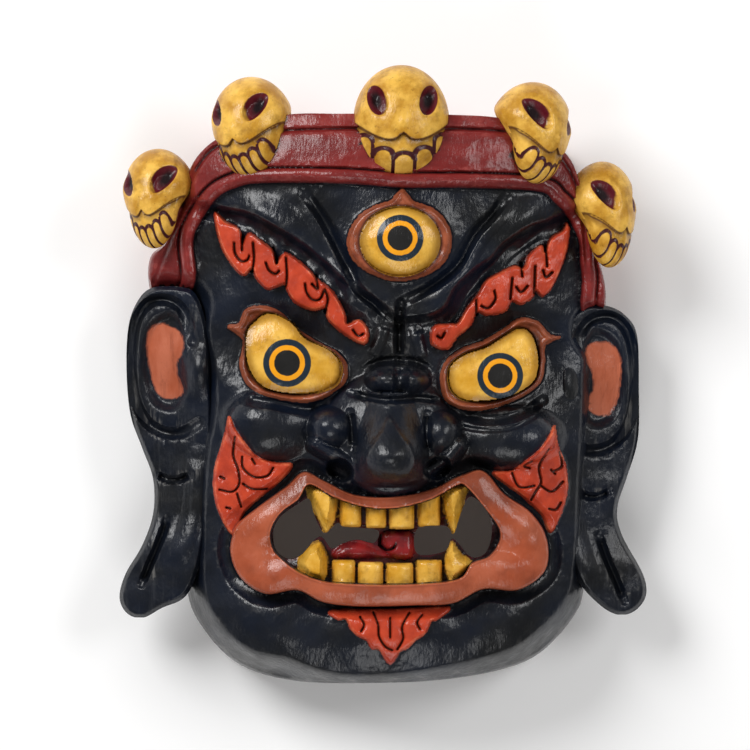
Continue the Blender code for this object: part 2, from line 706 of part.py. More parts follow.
def hollow_heights(across, down):
    """The inside of the mask: the plain block's form a wall lower, rounded off towards the rim."""
    inside = Relief(across, down)
    inside.swell((388, 430), (80, 90), 18)
    vault = head_form(across, down) + inside.height - WALL / RISE - 2
    depth = np.clip((-inside.beyond(HEAD) * SQUARE - RIM_WIDTH) / VAULT_ROUNDING, 0, 1)
    return vault * np.sqrt(1 - (1 - depth) ** 2)


def shrunk(outline, by):
    """The outline drawn in by that many squares towards the head's centre."""
    arms = np.array(outline, float) - HEAD_CENTRE
    lengths = np.hypot(*arms.T)[:, None]
    return HEAD_CENTRE + arms * (1 - by / lengths)


def hollow(collection):
    inside = shrunk(HEAD, RIM_WIDTH / SQUARE)
    return carved_block("hollow", inside, HOLLOW_CELLS, hollow_heights, -0.03, 0.0, collection)


def combine(obj, other, operation):
    modifier = obj.modifiers.new(f"{operation.lower()} {other.name}", "BOOLEAN")
    modifier.operation = operation
    modifier.object = other
    modifier.solver = "EXACT"


def wood():
    material = bpy.data.materials.new("painted wood")
    material.use_nodes = True
    shader = material.node_tree.nodes["Principled BSDF"]
    shader.inputs["Base Color"].default_value = (0.02, 0.024, 0.032, 1)
    shader.inputs["Roughness"].default_value = 0.35
    return material


def main():
    for obj in list(bpy.data.objects):
        bpy.data.objects.remove(obj)
    parts = bpy.data.collections.new("dance mask")
    helpers = bpy.data.collections.new("cutters")
    for collection in (parts, helpers):
        bpy.context.scene.collection.children.link(collection)

    mask = carved_block(
        "mask", HEAD, FACE_CELLS, face_heights, 0.0, SIDE_DRAFT, parts, FACE_TRIANGLES
    )
    added = [
        ear_block("left ear", EAR_LEFT, ear_heights(-1), helpers),
        ear_block("right ear", EAR_RIGHT, ear_heights(1), helpers),
    ]
    added += [skull(f"skull {number}", *pose, helpers) for number, pose in enumerate(SKULLS, 1)]
    cut = [
        hollow(helpers),
        cut_through("mouth left", MOUTH_LEFT, helpers),
        cut_through("mouth right", MOUTH_RIGHT, helpers),
    ]
    for other in added:
        combine(mask, other, "UNION")
    for other in cut:
        combine(mask, other, "DIFFERENCE")
    for other in added + cut:
        other.hide_render = True
        other.display_type = "WIRE"
    mask.data.materials.append(wood())


main()
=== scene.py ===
"""The looks of a carved wrathful guardian's mask: its fine carving, paint, gilding and varnish.

The carving is drawn on squared paper, as the solid's is: a place is (squares from the left, squares
from the top), and heights are in rises. Both units come from the size of the frame's solid.
"""

import math

import bmesh
import bpy
import numpy as np
from mathutils import Matrix, Vector


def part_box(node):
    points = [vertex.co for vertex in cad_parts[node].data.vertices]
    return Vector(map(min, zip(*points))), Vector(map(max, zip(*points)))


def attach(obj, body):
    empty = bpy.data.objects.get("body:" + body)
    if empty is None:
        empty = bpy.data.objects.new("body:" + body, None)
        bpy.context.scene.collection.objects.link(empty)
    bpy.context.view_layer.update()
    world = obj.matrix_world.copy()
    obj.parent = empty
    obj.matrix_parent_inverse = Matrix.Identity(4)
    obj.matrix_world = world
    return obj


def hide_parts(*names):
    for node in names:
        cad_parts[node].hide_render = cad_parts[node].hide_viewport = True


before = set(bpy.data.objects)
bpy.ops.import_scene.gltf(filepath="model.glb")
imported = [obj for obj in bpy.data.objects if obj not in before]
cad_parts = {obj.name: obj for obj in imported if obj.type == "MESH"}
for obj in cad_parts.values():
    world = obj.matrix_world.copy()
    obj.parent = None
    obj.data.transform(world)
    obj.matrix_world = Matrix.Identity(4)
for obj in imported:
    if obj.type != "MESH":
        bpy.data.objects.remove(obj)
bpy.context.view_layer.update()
LOW, HIGH = (Vector(corner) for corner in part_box("mask"))

# The paper and its units

PAPER_WIDTH = 750
SQUARES_ACROSS = 532.5
RISES_DEEP = 138.0
SQUARE = (HIGH.x - LOW.x) / SQUARES_ACROSS
RISE = (HIGH.z - LOW.z) / RISES_DEEP
MIDDLE = (383.0, 377.0)
HEAD_CENTRE = (386, 400)
FACE_AXIS = 388
NOSE_AXIS = 390
RIGHT_EAR_DROP = 17

WALL = 0.016
RIM_WIDTH = 0.017
VAULT_ROUNDING = 0.032
EAR_THICKNESS = 0.021
HOLLOW_FOOT = -0.03
SIDE_DRAFT = 0.003

# How finely the forms are drawn, and how many triangles they keep

FACE_CELLS, FACE_TRIANGLES = ((470, 128000))
EAR_CELLS, EAR_TRIANGLES = (((90, 300), 14000))
SKULL_CELLS, SKULL_TRIANGLES = (((150, 110), 6500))
HOLLOW_CELLS = 44
CURVE_STEPS = 6

# The drawing: outlines and lines of the carving

HEAD = (
    (395, 114), (450, 115), (505, 119), (545, 137), (571, 160), (584, 200), (596, 250), (605, 290),
    (602, 330), (590, 400), (586, 500), (584, 585), (573, 618), (540, 654), (500, 671), (440, 681),
    (370, 684), (295, 682), (240, 666), (205, 632), (187, 590), (186, 500), (184, 400), (166, 330),
    (150, 290), (150, 258), (166, 240), (178, 200), (196, 157), (230, 131), (285, 115), (340, 114),
)
BAND_INSIDE = (
    (150, 330), (192, 287), (192, 241), (199, 222), (215, 199), (234, 188), (262, 183), (345, 184),
    (402, 188), (470, 188), (538, 191), (554, 201), (569, 217), (580, 241), (583, 272), (600, 330),
    (760, 330), (760, 760), (20, 760), (20, 330),
)
BAND_TOP_GROOVE = (
    (152, 281), (170, 236), (186, 192), (196, 169), (215, 147), (250, 134), (300, 130), (400, 129),
    (500, 131), (540, 143), (562, 160), (578, 192), (586, 241), (589, 304),
)
FRONT_EDGE = (
    (120, 300), (198, 300), (213, 340), (219, 404), (210, 460), (206, 530), (207, 594), (226, 629),
    (253, 649), (288, 656), (322, 668), (357, 673), (400, 671), (439, 665), (506, 649), (542, 625),
    (562, 602), (571, 573), (576, 480), (580, 400), (582, 340), (588, 300), (660, 300), (660, 60),
    (120, 60),
)

BROW_PANEL = (
    (216, 206), (246, 213), (270, 225), (298, 242), (323, 262), (340, 277), (375, 302), (397, 318),
    (420, 318), (443, 310), (456, 288), (476, 270), (492, 258), (505, 244), (531, 227), (555, 218),
    (590, 190), (570, 120), (400, 110), (220, 120), (190, 190),
)
BROW_CREASE_LEFT = ((305, 193), (322, 217), (334, 240), (346, 264), (360, 291), (391, 316))
BROW_CREASE_RIGHT = ((505, 198), (490, 217), (476, 232), (466, 249), (455, 268), (431, 287), (403, 302))

THIRD_LID = (
    (402, 190), (391, 201), (374, 207), (357, 219), (348, 239), (353, 259), (372, 274), (400, 281),
    (428, 274), (446, 259), (451, 237), (443, 219), (430, 208), (413, 202),
)
THIRD_EYE = ((400, 242), (40, 35))

EYE_LEFT = (
    (246, 334), (256, 320), (270, 313), (291, 322), (305, 338), (326, 348), (337, 357), (342, 370),
    (334, 387), (301, 394), (265, 388), (248, 366),
)
LID_LEFT = (
    (227, 327), (239, 323), (245, 310), (260, 306), (279, 312), (298, 330), (319, 343), (340, 355),
    (347, 370), (340, 387), (307, 402), (256, 391), (240, 367), (243, 340),
)
EYE_RIGHT = (
    (448, 377), (451, 364), (465, 354), (486, 347), (505, 335), (520, 328), (532, 335), (538, 356),
    (536, 377), (523, 390), (500, 399), (468, 401), (452, 392),
)
LID_RIGHT = (
    (441, 379), (446, 362), (462, 349), (484, 341), (506, 328), (515, 321), (526, 318), (540, 323),
    (551, 335), (561, 337), (546, 345), (545, 361), (540, 383), (515, 400), (477, 410), (448, 402),
)
IRISES = (((400, 238.7), 23.3), ((287.2, 363), 24.0), ((500, 375.8), 23.0))

FLAME_BROW_LEFT = (
    (214, 212), (225, 221), (239, 229), (242, 243), (249, 233), (261, 241), (273, 251), (276, 264),
    (284, 253), (296, 259), (309, 270), (317, 279), (332, 291), (344, 312), (347, 324), (359, 320),
    (368, 331), (364, 344), (343, 333), (328, 319), (326, 308), (313, 310), (296, 303), (287, 290),
    (284, 284), (268, 289), (256, 278), (252, 268), (242, 275), (226, 256), (218, 236),
)
FLAME_BROW_RIGHT = (
    (567, 222), (563, 230), (551, 238), (545, 252), (541, 245), (529, 255), (524, 268), (514, 266),
    (499, 273), (486, 281), (478, 294), (467, 308), (458, 323), (449, 324), (433, 327), (432, 344),
    (447, 349), (458, 336), (470, 326), (477, 312), (488, 315), (505, 311), (512, 301), (521, 304),
    (532, 298), (536, 290), (543, 296), (553, 286), (565, 258), (570, 232),
)
FLAME_BROWS = (FLAME_BROW_LEFT, FLAME_BROW_RIGHT)
# Notches, hooks and clefts that part the flames' locks.
FLAME_LINES = (
    ((242, 236), (242, 250)),
    ((234, 243), (235, 253), (241, 261), (247, 260), (249, 256)),
    ((253, 243), (254, 259), (252, 271)),
    ((273, 248), (277, 263)),
    ((266, 263), (269, 270), (275, 274), (279, 271)),
    ((286, 258), (287, 275), (286, 286)),
    ((316, 276), (318, 289), (312, 284)),
    ((305, 284), (307, 293), (313, 300), (320, 299), (324, 291)),
    ((325, 290), (328, 299), (325, 311)),
    ((353, 330), (358, 336), (363, 334)),
    ((546, 246), (547, 266)),
    ((543, 270), (546, 277), (552, 272)),
    ((535, 266), (534, 293)),
    ((521, 263), (522, 276)),
    ((516, 287), (521, 292), (527, 286)),
    ((512, 278), (510, 299)),
    ((481, 306), (488, 308), (495, 299), (494, 291)),
    ((476, 300), (476, 314)),
    ((437, 336), (441, 338), (444, 333)),
)

CHEEK_FLAME_LEFT = (
    (229, 417), (225, 432), (221, 446), (214, 470), (214, 495), (220, 516), (232, 535), (239, 522),
    (246, 510), (265, 493), (280, 481), (292, 465), (274, 463), (256, 456), (243, 441), (234, 428),
)
CHEEK_FLAME_RIGHT = (
    (555, 426), (558, 445), (566, 465), (568, 489), (563, 511), (551, 533), (543, 516), (534, 507),
    (520, 494), (507, 485), (493, 473), (511, 471), (527, 460), (540, 449), (550, 435),
)
CHIN_FLAME = (
    (331, 611), (338, 619), (346, 619), (351, 629), (359, 636), (367, 640), (372, 648), (379, 649),
    (390, 664), (400, 651), (407, 648), (415, 640), (425, 633), (431, 621), (437, 619), (448, 607),
    (390, 609),
)
SMALL_FLAMES = (CHEEK_FLAME_LEFT, CHEEK_FLAME_RIGHT, CHIN_FLAME)
CHEEK_LINES = (
    ((235, 437), (233, 455), (238, 470), (239, 484), (232, 492), (219, 490)),
    ((237, 494), (241, 507)),
    ((243, 484), (252, 489), (267, 489)),
    ((242, 457), (243, 468), (254, 477), (267, 476), (273, 468)),
    ((252, 459), (255, 464)),
    ((220, 477), (224, 479)),
    ((226, 508), (230, 509)),
    ((549, 449), (539, 466), (541, 482), (536, 491), (531, 500)),
    ((560, 452), (562, 466), (553, 472)),
    ((551, 470), (555, 474)),
    ((541, 486), (552, 492), (563, 482)),
    ((532, 461), (524, 466), (529, 468)),
    ((512, 473), (519, 487), (534, 486)),
    ((549, 509), (556, 510), (561, 503)),
)
CHIN_LINES = (
    ((373, 612), (378, 624), (379, 636), (385, 646), (392, 650)),
    ((409, 613), (402, 626), (403, 638), (397, 649)),
    ((390, 618), (390, 637)),
    ((360, 617), (364, 624), (361, 631)),
    ((422, 615), (417, 622), (420, 629)),
)

NOSE_DROP = (
    (389, 417), (380, 433), (368, 449), (365, 464), (374, 477), (390, 482), (406, 477), (415, 463),
    (411, 447), (399, 431),
)
NOSE_FOOT_LEFT = ((316, 443), (330, 452), (345, 460), (355, 470), (363, 482), (377, 489), (392, 491))
NOSE_FOOT_RIGHT = ((458, 444), (447, 457), (434, 466), (424, 476), (412, 486), (392, 491))

LIPS_OUTSIDE = (
    (304, 472), (286, 487), (257, 508), (237, 526), (230, 552), (241, 579), (266, 594), (297, 590),
    (323, 602), (360, 606), (416, 605), (453, 603), (483, 589), (518, 590), (545, 571), (547, 540),
    (531, 513), (504, 494), (483, 471), (460, 476), (430, 490), (393, 497), (355, 495), (324, 481),
)
LIPS_INSIDE = (
    (309, 484), (333, 496), (359, 505), (384, 508), (409, 505), (434, 497), (456, 485), (466, 486),
    (485, 508), (499, 528), (499, 543), (488, 557), (472, 563), (458, 579), (413, 584), (360, 584),
    (323, 581), (299, 572), (285, 562), (273, 550), (270, 532), (280, 513), (298, 499),
)
MOUTH_LEFT = (
    (309, 499), (298, 504), (280, 517), (273, 532), (275, 550), (286, 559), (300, 556), (319, 537),
    (331, 549), (342, 544), (357, 540), (374, 543), (377, 530), (345, 527), (337, 523), (324, 533),
    (314, 515),
)
MOUTH_RIGHT = (
    (417, 529), (445, 526), (453, 534), (460, 515), (469, 497), (482, 505), (491, 521), (491, 540),
    (484, 555), (470, 557), (453, 539), (444, 552), (417, 554),
)
GUM_TOP = (
    (306, 478), (388, 503), (468, 478), (470, 500), (440, 520), (388, 524), (338, 520), (306, 498),
)
GUM_FOOT = (
    (298, 580), (470, 580), (470, 566), (440, 565), (388, 568), (330, 566), (300, 566),
)
# Each flat tooth: its sides, top and foot.
TEETH = (
    (340, 361, 496, 527), (366, 386, 502, 528), (389, 414, 502, 529), (418, 440, 494, 527),
    (332, 355, 560, 586), (358, 383, 562, 588), (386, 413, 563, 588), (416, 442, 560, 586),
)
FANGS = (
    ((306, 492), (316, 483), (336, 490), (336, 517), (331, 528), (325, 534), (317, 518)),
    ((443, 494), (455, 483), (470, 484), (465, 498), (458, 529), (453, 534), (446, 519)),
    ((319, 541), (325, 550), (328, 560), (325, 580), (308, 579), (297, 566), (303, 550)),
    ((452, 541), (462, 553), (474, 564), (464, 576), (450, 582), (444, 566), (446, 552)),
)
TONGUE = (
    (330, 555), (340, 543), (353, 539), (366, 541), (377, 546), (392, 549), (413, 545), (414, 561),
    (372, 563), (340, 563),
)
TONGUE_CURL = ((381, 532), (410, 531), (415, 545), (412, 559), (395, 560), (383, 548))
TONGUE_LINE = ((381, 535), (380, 545), (387, 550), (393, 548), (396, 544))

EAR_LEFT = (
    (150, 287), (178, 286), (196, 296), (208, 340), (212, 420), (208, 500), (200, 560), (185, 597),
    (160, 610), (141, 620), (125, 616), (117, 600), (123, 576), (140, 547), (151, 515), (151, 480),
    (140, 449), (128, 415), (124, 370), (126, 327), (135, 301),
)
EAR_RIGHT = (
    (584, 306), (607, 305), (626, 314), (639, 335), (641, 390), (640, 440), (629, 478), (619, 510),
    (624, 537), (645, 576), (648, 598), (637, 613), (620, 617), (600, 606), (578, 580), (568, 540),
    (562, 480), (560, 400), (564, 330),
)
EAR_CHANNEL = (
    (192, 341), (185, 317), (174, 303), (158, 299), (144, 305), (134, 322), (130, 350), (130, 385),
    (136, 408), (147, 424), (163, 433), (181, 433), (198, 423),
)
EAR_BOWL = (
    (152, 322), (172, 314), (184, 330), (178, 352), (182, 392), (172, 408), (154, 402), (143, 375),
    (143, 345),
)
EAR_PATCH_LEFT = (
    (147, 330), (158, 323), (172, 327), (181, 337), (182, 350), (176, 362), (176, 376), (181, 388),
    (178, 397), (162, 398), (153, 388), (147, 366), (145, 347),
)
EAR_PATCH_RIGHT = (
    (588, 360), (588, 348), (597, 342), (612, 343), (622, 355), (623, 375), (620, 398), (612, 414),
    (598, 415), (589, 407), (592, 396), (596, 385), (593, 370),
)

# The skulls: centre, height of the centre, half sizes, turn, lean, and how much the jaw narrows.
SKULLS = (
    ((159, 197), 56, (38, 50, 38), -30, 6, 0.3),
    ((253, 126), 80, (42, 50, 42), -31, 8, 0.16),
    ((401, 122), 92, (48, 57, 44), 3, 0, 0.0),
    ((529, 131), 82, (42, 50, 42), 46, -14, 0.3),
    ((600, 213), 62, (36, 53, 38), 46, -6, 0.3),
)
SKULL_EYE = (0.54, 0.36)
SKULL_TOOTH_EDGES = (-0.98, -0.62, -0.2, 0.25, 0.66, 0.98)
TURNED_TOOTH_EDGES = (-0.84, -0.57, -0.27, 0.05, 0.34, 0.6, 0.84)
SKULL_ARCH = 0.13

# Material places on the carved mesh

PAINTED_FACE, PAINTED_EAR, GILT_SKULL, BARE_INSIDE, MOUTH_WALL = range(5)


def place(across, down, rise=0.0):
    """A place on the paper, as metres."""
    return ((across - MIDDLE[0]) * SQUARE, (MIDDLE[1] - down) * SQUARE, rise * RISE)


# Curves, distances and unevenness

def smooth(points, closed=True):
    """A smooth line through the points."""
    knots = np.asarray(points, float)
    count = len(knots)
    line = []
    for i in range(count if closed else count - 1):
        if closed:
            a, b, c, d = (knots[(i + k) % count] for k in (-1, 0, 1, 2))
        else:
            b, c = knots[i], knots[i + 1]
            a = knots[max(i - 1, 0)]
            d = knots[min(i + 2, count - 1)]
        for t in np.arange(CURVE_STEPS) / CURVE_STEPS:
            bend = (2 * a - 5 * b + 4 * c - d) * t ** 2 + (3 * b - a - 3 * c + d) * t ** 3
            line.append(0.5 * (2 * b + (c - a) * t + bend))
    if not closed:
        line.append(knots[-1])
    return np.array(line)


def from_line(across, down, line, closed):
    """How far each place is from a line, and the share of the line before its nearest point."""
    starts = line if closed else line[:-1]
    ends = np.roll(line, -1, axis=0) if closed else line[1:]
    lengths = np.maximum(np.hypot(*(ends - starts).T), 1e-6)
    total = lengths.sum()
    before = 0.0
    nearest = np.full(across.shape, 1e6)
    share = np.zeros(across.shape)
    for (x0, y0), (x1, y1), length in zip(starts, ends, lengths):
        run = ((across - x0) * (x1 - x0) + (down - y0) * (y1 - y0)) / length ** 2
        run = np.clip(run, 0.0, 1.0)
        gap = np.hypot(across - x0 - run * (x1 - x0), down - y0 - run * (y1 - y0))
        closer = gap < nearest
        nearest[closer] = gap[closer]
        share[closer] = ((before + run * length) / total)[closer]
        before += length
    return nearest, share


def within(across, down, line):
    """Whether each place is inside a closed line."""
    inside = np.zeros(across.shape, bool)
    for (x0, y0), (x1, y1) in zip(line, np.roll(line, -1, axis=0)):
        if y0 != y1:
            crosses = (y0 > down) != (y1 > down)
            inside ^= crosses & (across < (x1 - x0) * (down - y0) / (y1 - y0) + x0)
    return inside


def ease(t):
    t = np.clip(t, 0.0, 1.0)
    return t * t * (3.0 - 2.0 * t)


def higher(a, b, blend):
    """The higher of two surfaces, with a soft join."""
    mix = np.clip(0.5 + 0.5 * (a - b) / blend, 0.0, 1.0)
    return b + (a - b) * mix + blend * mix * (1.0 - mix)


def hump(t):
    """1 in the middle, falling in a round curve to 0 where t is 1 or -1."""
    return np.clip(1 - t ** 2, 0, 1)


def uneven(across, down, size, seed):
    """Smooth unevenness between -1 and 1, with lumps about that many squares wide."""
    lattice = np.random.default_rng(seed).uniform(-1, 1, (64, 64))
    x, y = across / size, down / size
    column, row = np.floor(x).astype(int), np.floor(y).astype(int)
    right, below = ease(x - column), ease(y - row)

    def corner(i, j):
        return lattice[(row + j) % 64, (column + i) % 64]

    upper = corner(0, 0) * (1 - right) + corner(1, 0) * right
    lower = corner(0, 1) * (1 - right) + corner(1, 1) * right
    return upper * (1 - below) + lower * below


class Relief:
    """Heights, in rises, over places on the paper, cut and raised step by step."""

    def __init__(self, across, down):
        self.across = across
        self.down = down
        self.height = np.zeros(across.shape)

    def near(self, line, reach):
        low, high = line.min(axis=0) - reach, line.max(axis=0) + reach
        level = (self.across > low[0]) & (self.across < high[0])
        return level & (self.down > low[1]) & (self.down < high[1])

    def beyond(self, points, reach=40.0):
        """How far each place is outside an outline; less than 0 is inside."""
        line = smooth(points)
        outside = np.full(self.across.shape, reach)
        near = self.near(line, reach)
        gap, _ = from_line(self.across[near], self.down[near], line, True)
        inside = within(self.across[near], self.down[near], line)
        outside[near] = np.where(inside, -gap, gap)
        return outside

    def from_lines(self, lines, reach=6.0):
        """How far each place is from the nearest of several lines."""
        nearest = np.full(self.across.shape, reach)
        for points in lines:
            line = smooth(points, False)
            near = self.near(line, reach)
            gap, _ = from_line(self.across[near], self.down[near], line, False)
            nearest[near] = np.minimum(nearest[near], gap)
        return nearest

    def raise_inside(self, points, rise, slope):
        """Lifts what is inside an outline, with sides that many squares wide."""
        self.height += rise * ease(0.5 - self.beyond(points) / slope)

    def fill(self, here, level):
        """Raises what is lower than a level, in the places that are here."""
        self.height = np.where(here, np.maximum(self.height, level), self.height)

    def cap(self, centre, radii, top, rise, turn=0.0, blend=3.0):
        """Joins on a rounded form: the top of an ellipsoid that stands rise proud and ends at top."""
        round_out = self.rounding(centre, radii, turn)
        shape = np.where(round_out < 1, np.sqrt(np.clip(1 - round_out, 0, 1)), 1.5 * (1 - round_out))
        near = round_out < 2.4
        self.height[near] = higher(self.height, top - rise + rise * shape, blend)[near]

    def swell(self, centre, radii, rise, turn=0.0):
        """Adds a soft swelling, or a hollow where rise is less than 0."""
        self.height += rise * np.clip(1 - self.rounding(centre, radii, turn), 0, 1) ** 2

    def rounding(self, centre, radii, turn=0.0):
        """0 at the centre of an ellipse and 1 on its edge."""
        angle = np.radians(turn)
        right = self.across - centre[0]
        below = self.down - centre[1]
        along = (right * np.cos(angle) + below * np.sin(angle)) / radii[0]
        athwart = (below * np.cos(angle) - right * np.sin(angle)) / radii[1]
        return along ** 2 + athwart ** 2

    def groove(self, points, width, depth):
        """Cuts a rounded groove, of that half width, along a line."""
        line = smooth(points, False)
        near = self.near(line, width)
        gap, share = from_line(self.across[near], self.down[near], line, False)
        fade = np.clip(8 * np.minimum(share, 1 - share), 0.3, 1)
        self.height[near] -= depth * fade * hump(gap / width)

    def ridge(self, points, width, rise):
        """Raises a rounded ridge along a line."""
        self.groove(points, width, -rise)


# The face's carving

def head_form(across, down):
    """The plain block under the carving, in rises."""
    side = np.abs(across - FACE_AXIS) / 239
    crown = np.clip((190 - down) / 76, 0, 1.2)
    jaw = np.clip((down - 560) / 120, 0, 1)
    return 92 - 54 * side ** 2.4 - 9 * crown ** 2 - 8 * jaw ** 2


def carve_band(face):
    outside = face.beyond(BAND_INSIDE)
    face.height += 8 * ease(0.5 + outside / 4)
    face.height -= 3 * hump((outside - 15) / 2.2) * (face.down < 315)
    face.height -= 1.6 * hump(outside / 7) * (outside > 0)
    face.height += 1.2 * hump((outside - 8) / 6) * (face.down < 315)
    face.groove(BAND_TOP_GROOVE, 3, 3.2)


def carve_jaw_sides(face):
    outside = face.beyond(FRONT_EDGE)
    face.height -= 30 * ease(outside / 26)
    face.swell((173, 306), (44, 40), -28)
    face.swell((597, 330), (30, 34), -22)


def carve_forehead(face):
    below = face.beyond(BROW_PANEL)
    face.height += 8 * ease(0.5 - below / 9)
    pits = 2.4 + 0.9 * np.cos(face.across / 4.2 + face.down / 6.5)
    face.height -= pits * hump((below - 8) / 8)
    face.swell((275, 222), (58, 26), 5, 28)
    face.swell((345, 290), (56, 22), 7, 42)
    face.swell((525, 218), (52, 26), 5, -32)
    face.swell((446, 300), (52, 22), 6, -50)
    face.swell((400, 245), (75, 90), 7)
    for crease, side in ((BROW_CREASE_LEFT, -1), (BROW_CREASE_RIGHT, 1)):
        face.groove(crease, 6.5, 6)
        face.ridge([(x + side * 8, y + 3) for x, y in crease], 8, 1.6)
        face.groove([(x - side * 7, y) for x, y in crease[1:5]], 2.5, 1)
    face.groove(((400, 304), (399, 330), (399, 358)), 6, 8)
    face.ridge(((384, 326), (380, 342), (372, 358)), 7, 2.5)
    face.ridge(((413, 324), (418, 342), (422, 360)), 7, 2.5)


def carve_third_eye(face):
    face.raise_inside(THIRD_LID, 6, 5)
    lid = face.beyond(THIRD_LID)
    face.height += 1.5 * hump((lid + 4) / 3.5)
    centre, radii = THIRD_EYE
    inside = face.rounding(centre, radii)
    face.height -= 6 * ease((1.03 - inside) / 0.08)
    ball = 105 + 12 * np.sqrt(np.clip(1 - inside / 1.1, 0, 1))
    face.fill(inside < 1, ball)


def carve_eye(face, eye, lid, ball, socket):
    """One eye: a wide hollow, a raised lid and a bulging ball inside it."""
    face.swell(socket, (88, 62), -13, 12 if socket[0] < FACE_AXIS else -12)
    face.raise_inside(lid, 8, 5)
    rim = face.beyond(lid)
    face.height += 1.4 * hump((rim + 3.5) / 3)
    sunk = face.beyond(eye)
    face.height -= 6 * ease(0.5 - sunk / 2.4)
    centre, radii, top = ball
    bulge = top - 16 + 16 * np.sqrt(np.clip(1 - face.rounding(centre, radii), 0, 1))
    face.fill(sunk < -0.5, bulge)


def carve_flame_brows(face):
    for outline in FLAME_BROWS:
        edge = face.beyond(outline)
        face.height += 10 * ease(0.5 - edge / 2.6)
        face.height -= 0.8 * np.clip(1 + edge / 3, 0, 1) * (edge < 0)
    lines = face.from_lines(FLAME_LINES)
    face.height -= 4 * hump(lines / 1.9)


def carve_cheeks(face):
    face.cap((274, 425), (48, 36), 98, 22, 8, blend=8)
    face.cap((504, 438), (52, 32), 100, 22, -4, blend=8)
    face.swell((250, 480), (50, 60), 5)
    face.swell((530, 480), (50, 60), 5)
    face.groove(((243, 400), (270, 404), (305, 410), (322, 405)), 6, 5)
    face.groove(((455, 411), (485, 420), (520, 415), (543, 400)), 6, 5)
    face.groove(((452, 424), (480, 430), (515, 427), (545, 409)), 3, 1.5)


def carve_nose(face):
    face.cap((388, 440), (68, 70), 110, 28, blend=12)
    beside = np.abs(face.across - NOSE_AXIS)
    run = np.clip((face.down - 392) / 98, 0, 1)
    half = 27 + 13 * ease(run / 0.6)
    crest = 112 + 24.6 * ease(run / 0.72)
    foot = np.sqrt(1 - np.clip((run - 0.6) / 0.4, 0, 1) ** 2)
    body = 84 + (crest - 84) * np.sqrt(hump(beside / half)) * foot
    on_nose = (run > 0) & (run < 1) & (beside < half)
    face.height = np.where(on_nose, higher(face.height, body, 7), face.height)
    face.height += 2.2 * ease(0.5 - face.beyond(NOSE_DROP) / 5)
    face.cap((397, 381), (33, 18), 114, 24, blend=4)
    face.swell((381, 378), (20, 18), 6)
    face.swell((414, 378), (20, 18), 6)
    face.groove(((400, 366), (401, 381), (400, 394)), 9, 6)
    face.groove(((350, 393), (372, 398), (396, 400), (420, 398), (442, 402)), 4.5, 5)
    face.groove(((364, 368), (380, 361), (400, 359), (418, 362), (430, 369)), 4, 3)
    face.cap((330, 428), (22, 21), 112, 21, blend=9)
    face.cap((441, 433), (20, 23), 112, 21, blend=9)
    face.groove(((350, 412), (352, 430), (353, 446)), 5, 5)
    face.groove(((427, 414), (427, 432), (428, 450)), 5, 5)
    gap = face.from_lines((NOSE_FOOT_LEFT, NOSE_FOOT_RIGHT), 12)
    rim = 107 - 13 * (gap / 9) ** 2
    face.height = np.where(gap < 12, higher(face.height, rim, 4), face.height)
    for centre, turn in (((340, 470), 30), ((437, 468), -30)):
        hole = face.rounding(centre, (14, 11), turn)
        face.height -= 12 * ease((1.25 - hole) / 0.8)


def carve_lips(face):
    outside = face.beyond(LIPS_OUTSIDE)
    inside = face.beyond(LIPS_INSIDE)
    face.height -= 5 * hump(outside / 14) * (outside > 0)
    lip_level = 100 - 17 * (np.abs(face.across - FACE_AXIS) / 160) ** 2
    roll = 2 + 5 * hump((outside + 18) / 20)
    share = ease(0.5 - outside / 3)
    face.height = face.height * (1 - share) + (lip_level + roll) * share
    face.height = np.where(inside < 0, face.height - 18 * ease(-inside / 1.8), face.height)


def carve_teeth(face):
    """Four flat teeth and two fangs in each jaw, with gums between them."""
    arch = 98 - 13 * (np.abs(face.across - FACE_AXIS) / 90) ** 2
    inside = face.beyond(LIPS_INSIDE)
    for outline in (GUM_TOP, GUM_FOOT):
        face.fill((face.beyond(outline) < 0) & (inside < 1), arch - 6)
    for left, right, top, foot in TEETH:
        edge = tooth_edge(face, left, right, top, foot)
        middle, half = (left + right) / 2, (right - left) / 2
        crown = arch + 2 - 4 * ((face.across - middle) / half) ** 2 - 3 * ease(1 + edge / 3)
        face.fill(edge < 0, crown)
    for outline in FANGS:
        edge = face.beyond(outline, 20)
        face.fill(edge < 0, arch - 1 + np.clip(-edge, 0, 8) * 1.3)


def tooth_edge(face, left, right, top, foot):
    """How far a place is outside a tooth's squared outline."""
    beside = np.abs(face.across - (left + right) / 2) - (right - left) / 2
    above = np.abs(face.down - (top + foot) / 2) - (foot - top) / 2
    return higher(beside, above, 2.5)


def carve_tongue(face):
    lying = face.beyond(TONGUE, reach=12)
    curl = face.beyond(TONGUE_CURL, reach=12)
    face.fill(lying < 0, 79 + 8 * np.sqrt(np.clip(-lying / 9, 0, 1)))
    face.fill(curl < 0, 85 + 6 * np.sqrt(np.clip(-curl / 6, 0, 1)))
    face.groove(TONGUE_LINE, 2.2, 4)


def carve_small_flames(face):
    for outline in SMALL_FLAMES:
        face.raise_inside(outline, 4, 2.4)
    lines = face.from_lines(CHEEK_LINES + CHIN_LINES)
    face.height -= 3 * hump(lines / 1.7)


def carve_chin(face):
    face.swell((388, 640), (120, 46), 7)
    face.swell((262, 622), (60, 38), 6, 30)
    face.swell((512, 622), (60, 38), 6, -30)


def work_by_hand(face):
    """The knife's shallow facets and the block's slight unevenness."""
    face.height += 0.7 * uneven(face.across, face.down, 37, 3)
    turned = face.across + 0.4 * face.down
    face.height += 0.45 * uneven(turned, face.down - 0.4 * face.across, 15, 5)
    face.height += 0.16 * uneven(turned, face.down, 6, 7)


